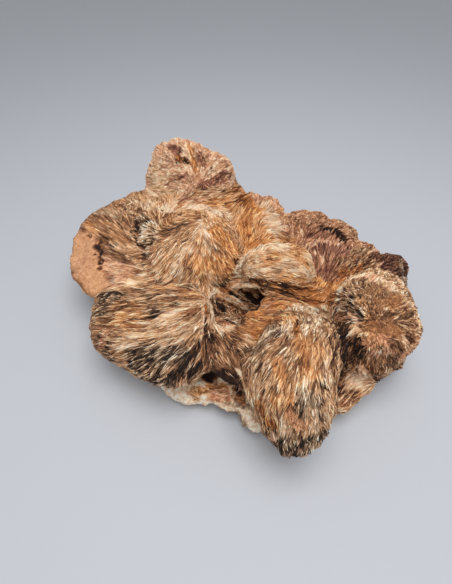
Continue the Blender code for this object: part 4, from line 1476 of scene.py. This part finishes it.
def crystal_material():
    """Single crystals: silky, with painted shade at their roots and painted light towards their
    tips.
    """
    material, tree, shader = new_material("silky barite crystals")
    shade = read_number(tree, "shade", (-900, 200))
    hues = read_number(tree, "hues", (-900, 0), "Vector")
    along = read_number(tree, "along", (-900, -200))
    total = add_node(tree, "ShaderNodeMath", (-500, 100), operation="ADD")
    tree.links.new(shade, total.inputs[0])
    # painted shade at the root and painted light at the tip, by how far along the crystal a point
    # lies
    tree.links.new(between(tree, (-700, -200), along, ROOT_SHADE_TIP_LIGHT), total.inputs[1])
    finish_barite(tree, total.outputs[0], hues, CRYSTAL_ROUGHNESS, shader)
    return material


def body_material():
    """The mass between and under the crystals, streaked along them."""
    material, tree, shader = new_material("streaked barite")
    shade = read_number(tree, "shade", (-900, 300))
    contrast = read_number(tree, "contrast", (-900, 100))
    hues = read_number(tree, "hues", (-500, -300), "Vector")
    grit = read_number(tree, "grit", (-900, -700))
    flow = read_number(tree, "flow", (-1300, -100), "Vector")

    stretch = add_node(tree, "ShaderNodeVectorMath", (-1100, -100), operation="MULTIPLY")
    stretch.inputs[1].default_value = STREAK_STRETCH
    tree.links.new(flow, stretch.inputs[0])
    streaks = add_node(
        tree, "ShaderNodeTexNoise", (-900, -100), Scale=1.0, Detail=STREAK_DETAIL,
    )
    tree.links.new(stretch.outputs[0], streaks.inputs["Vector"])
    swing = times_plus(tree, (-700, -100), streaks.outputs["Fac"], *STREAK_SWING)
    streaked = times_plus(tree, (-500, 100), swing, contrast, shade)

    place = add_node(tree, "ShaderNodeTexCoord", (-1300, -500))
    grains = add_node(
        tree, "ShaderNodeTexNoise", (-900, -450),
        Scale=GRAIN_FINENESS, Detail=GRAIN_DETAIL, Roughness=GRAIN_ROUGHNESS,
    )
    tree.links.new(place.outputs["Object"], grains.inputs["Vector"])
    gritty = times_plus(tree, (-700, -450), grains.outputs["Fac"], *GRAIN_SWING)
    total = times_plus(tree, (-400, 0), gritty, grit, streaked)
    finish_barite(tree, total, hues, BODY_ROUGHNESS, shader)

    relief = times_plus(tree, (-500, -500), gritty, GRAIN_RELIEF, streaks.outputs["Fac"])
    bump = add_node(
        tree, "ShaderNodeBump", (-300, -400), Strength=RELIEF_STRENGTH, Distance=RELIEF_HEIGHT,
    )
    tree.links.new(relief, bump.inputs["Height"])
    tree.links.new(bump.outputs["Normal"], shader.inputs["Normal"])
    return material


# ---- the light tent: its camera, floor, walls' light and roof lamp, in metres and watts ----
NEAREST = 0.01                 # the camera sees nothing nearer than this
FLOOR_SIZE, FLOOR_ROUGHNESS = 8, 0.8
FLOOR_COLOUR = (0.55, 0.57, 0.61, 1)
WALL_COLOUR, WALL_STRENGTH = (0.97, 0.98, 1.0, 1), 0.48
LAMP_PLACE, LAMP_AIM = Vector((0.04, -0.14, 0.74)), Vector((0, 0, 0.03))
LAMP_SIZE, LAMP_POWER = 0.5, 4.0


def set_camera():
    camera = bpy.data.cameras.new("camera")
    camera.sensor_width = SENSOR
    camera.lens = SENSOR * VIEW_PX / max(PICTURE)
    camera.clip_start = NEAREST
    eye = linked("camera", camera)
    eye.location = [(a - b) * MM for a, b in zip(CAMERA_PLACE, CENTRE)]
    eye.rotation_euler.x = math.radians(90 - CAMERA_PITCH)
    bpy.context.scene.camera = eye


def lay_floor():
    bpy.ops.mesh.primitive_plane_add(size=FLOOR_SIZE)
    floor = bpy.context.active_object
    floor.name = "floor"
    material = bpy.data.materials.new("pale floor")
    material.use_nodes = True
    shader = material.node_tree.nodes["Principled BSDF"]
    shader.inputs["Base Color"].default_value = FLOOR_COLOUR
    shader.inputs["Roughness"].default_value = FLOOR_ROUGHNESS
    floor.data.materials.append(material)


def light_tent():
    world = bpy.data.worlds.new("tent")
    bpy.context.scene.world = world
    world.use_nodes = True
    walls = world.node_tree.nodes["Background"]
    walls.inputs["Color"].default_value = WALL_COLOUR
    walls.inputs["Strength"].default_value = WALL_STRENGTH
    lamp = bpy.data.lights.new("roof lamp", "AREA")
    lamp.size = LAMP_SIZE
    lamp.energy = LAMP_POWER
    roof = linked("roof lamp", lamp)
    roof.location = LAMP_PLACE
    roof.rotation_euler = (LAMP_AIM - LAMP_PLACE).to_track_quat("-Z", "Y").to_euler()
    bpy.context.scene.view_settings.view_transform = "Standard"


def make_cluster():
    draw = np.random.default_rng(SEED)
    mesh = fine_surface()
    marks = marks_on(mesh)
    locks = lay_locks(mesh, marks, draw)
    make_body(mesh, marks, locks)
    grow_crystals(mesh, marks, locks, draw)


make_cluster()
set_camera()
lay_floor()
light_tent()
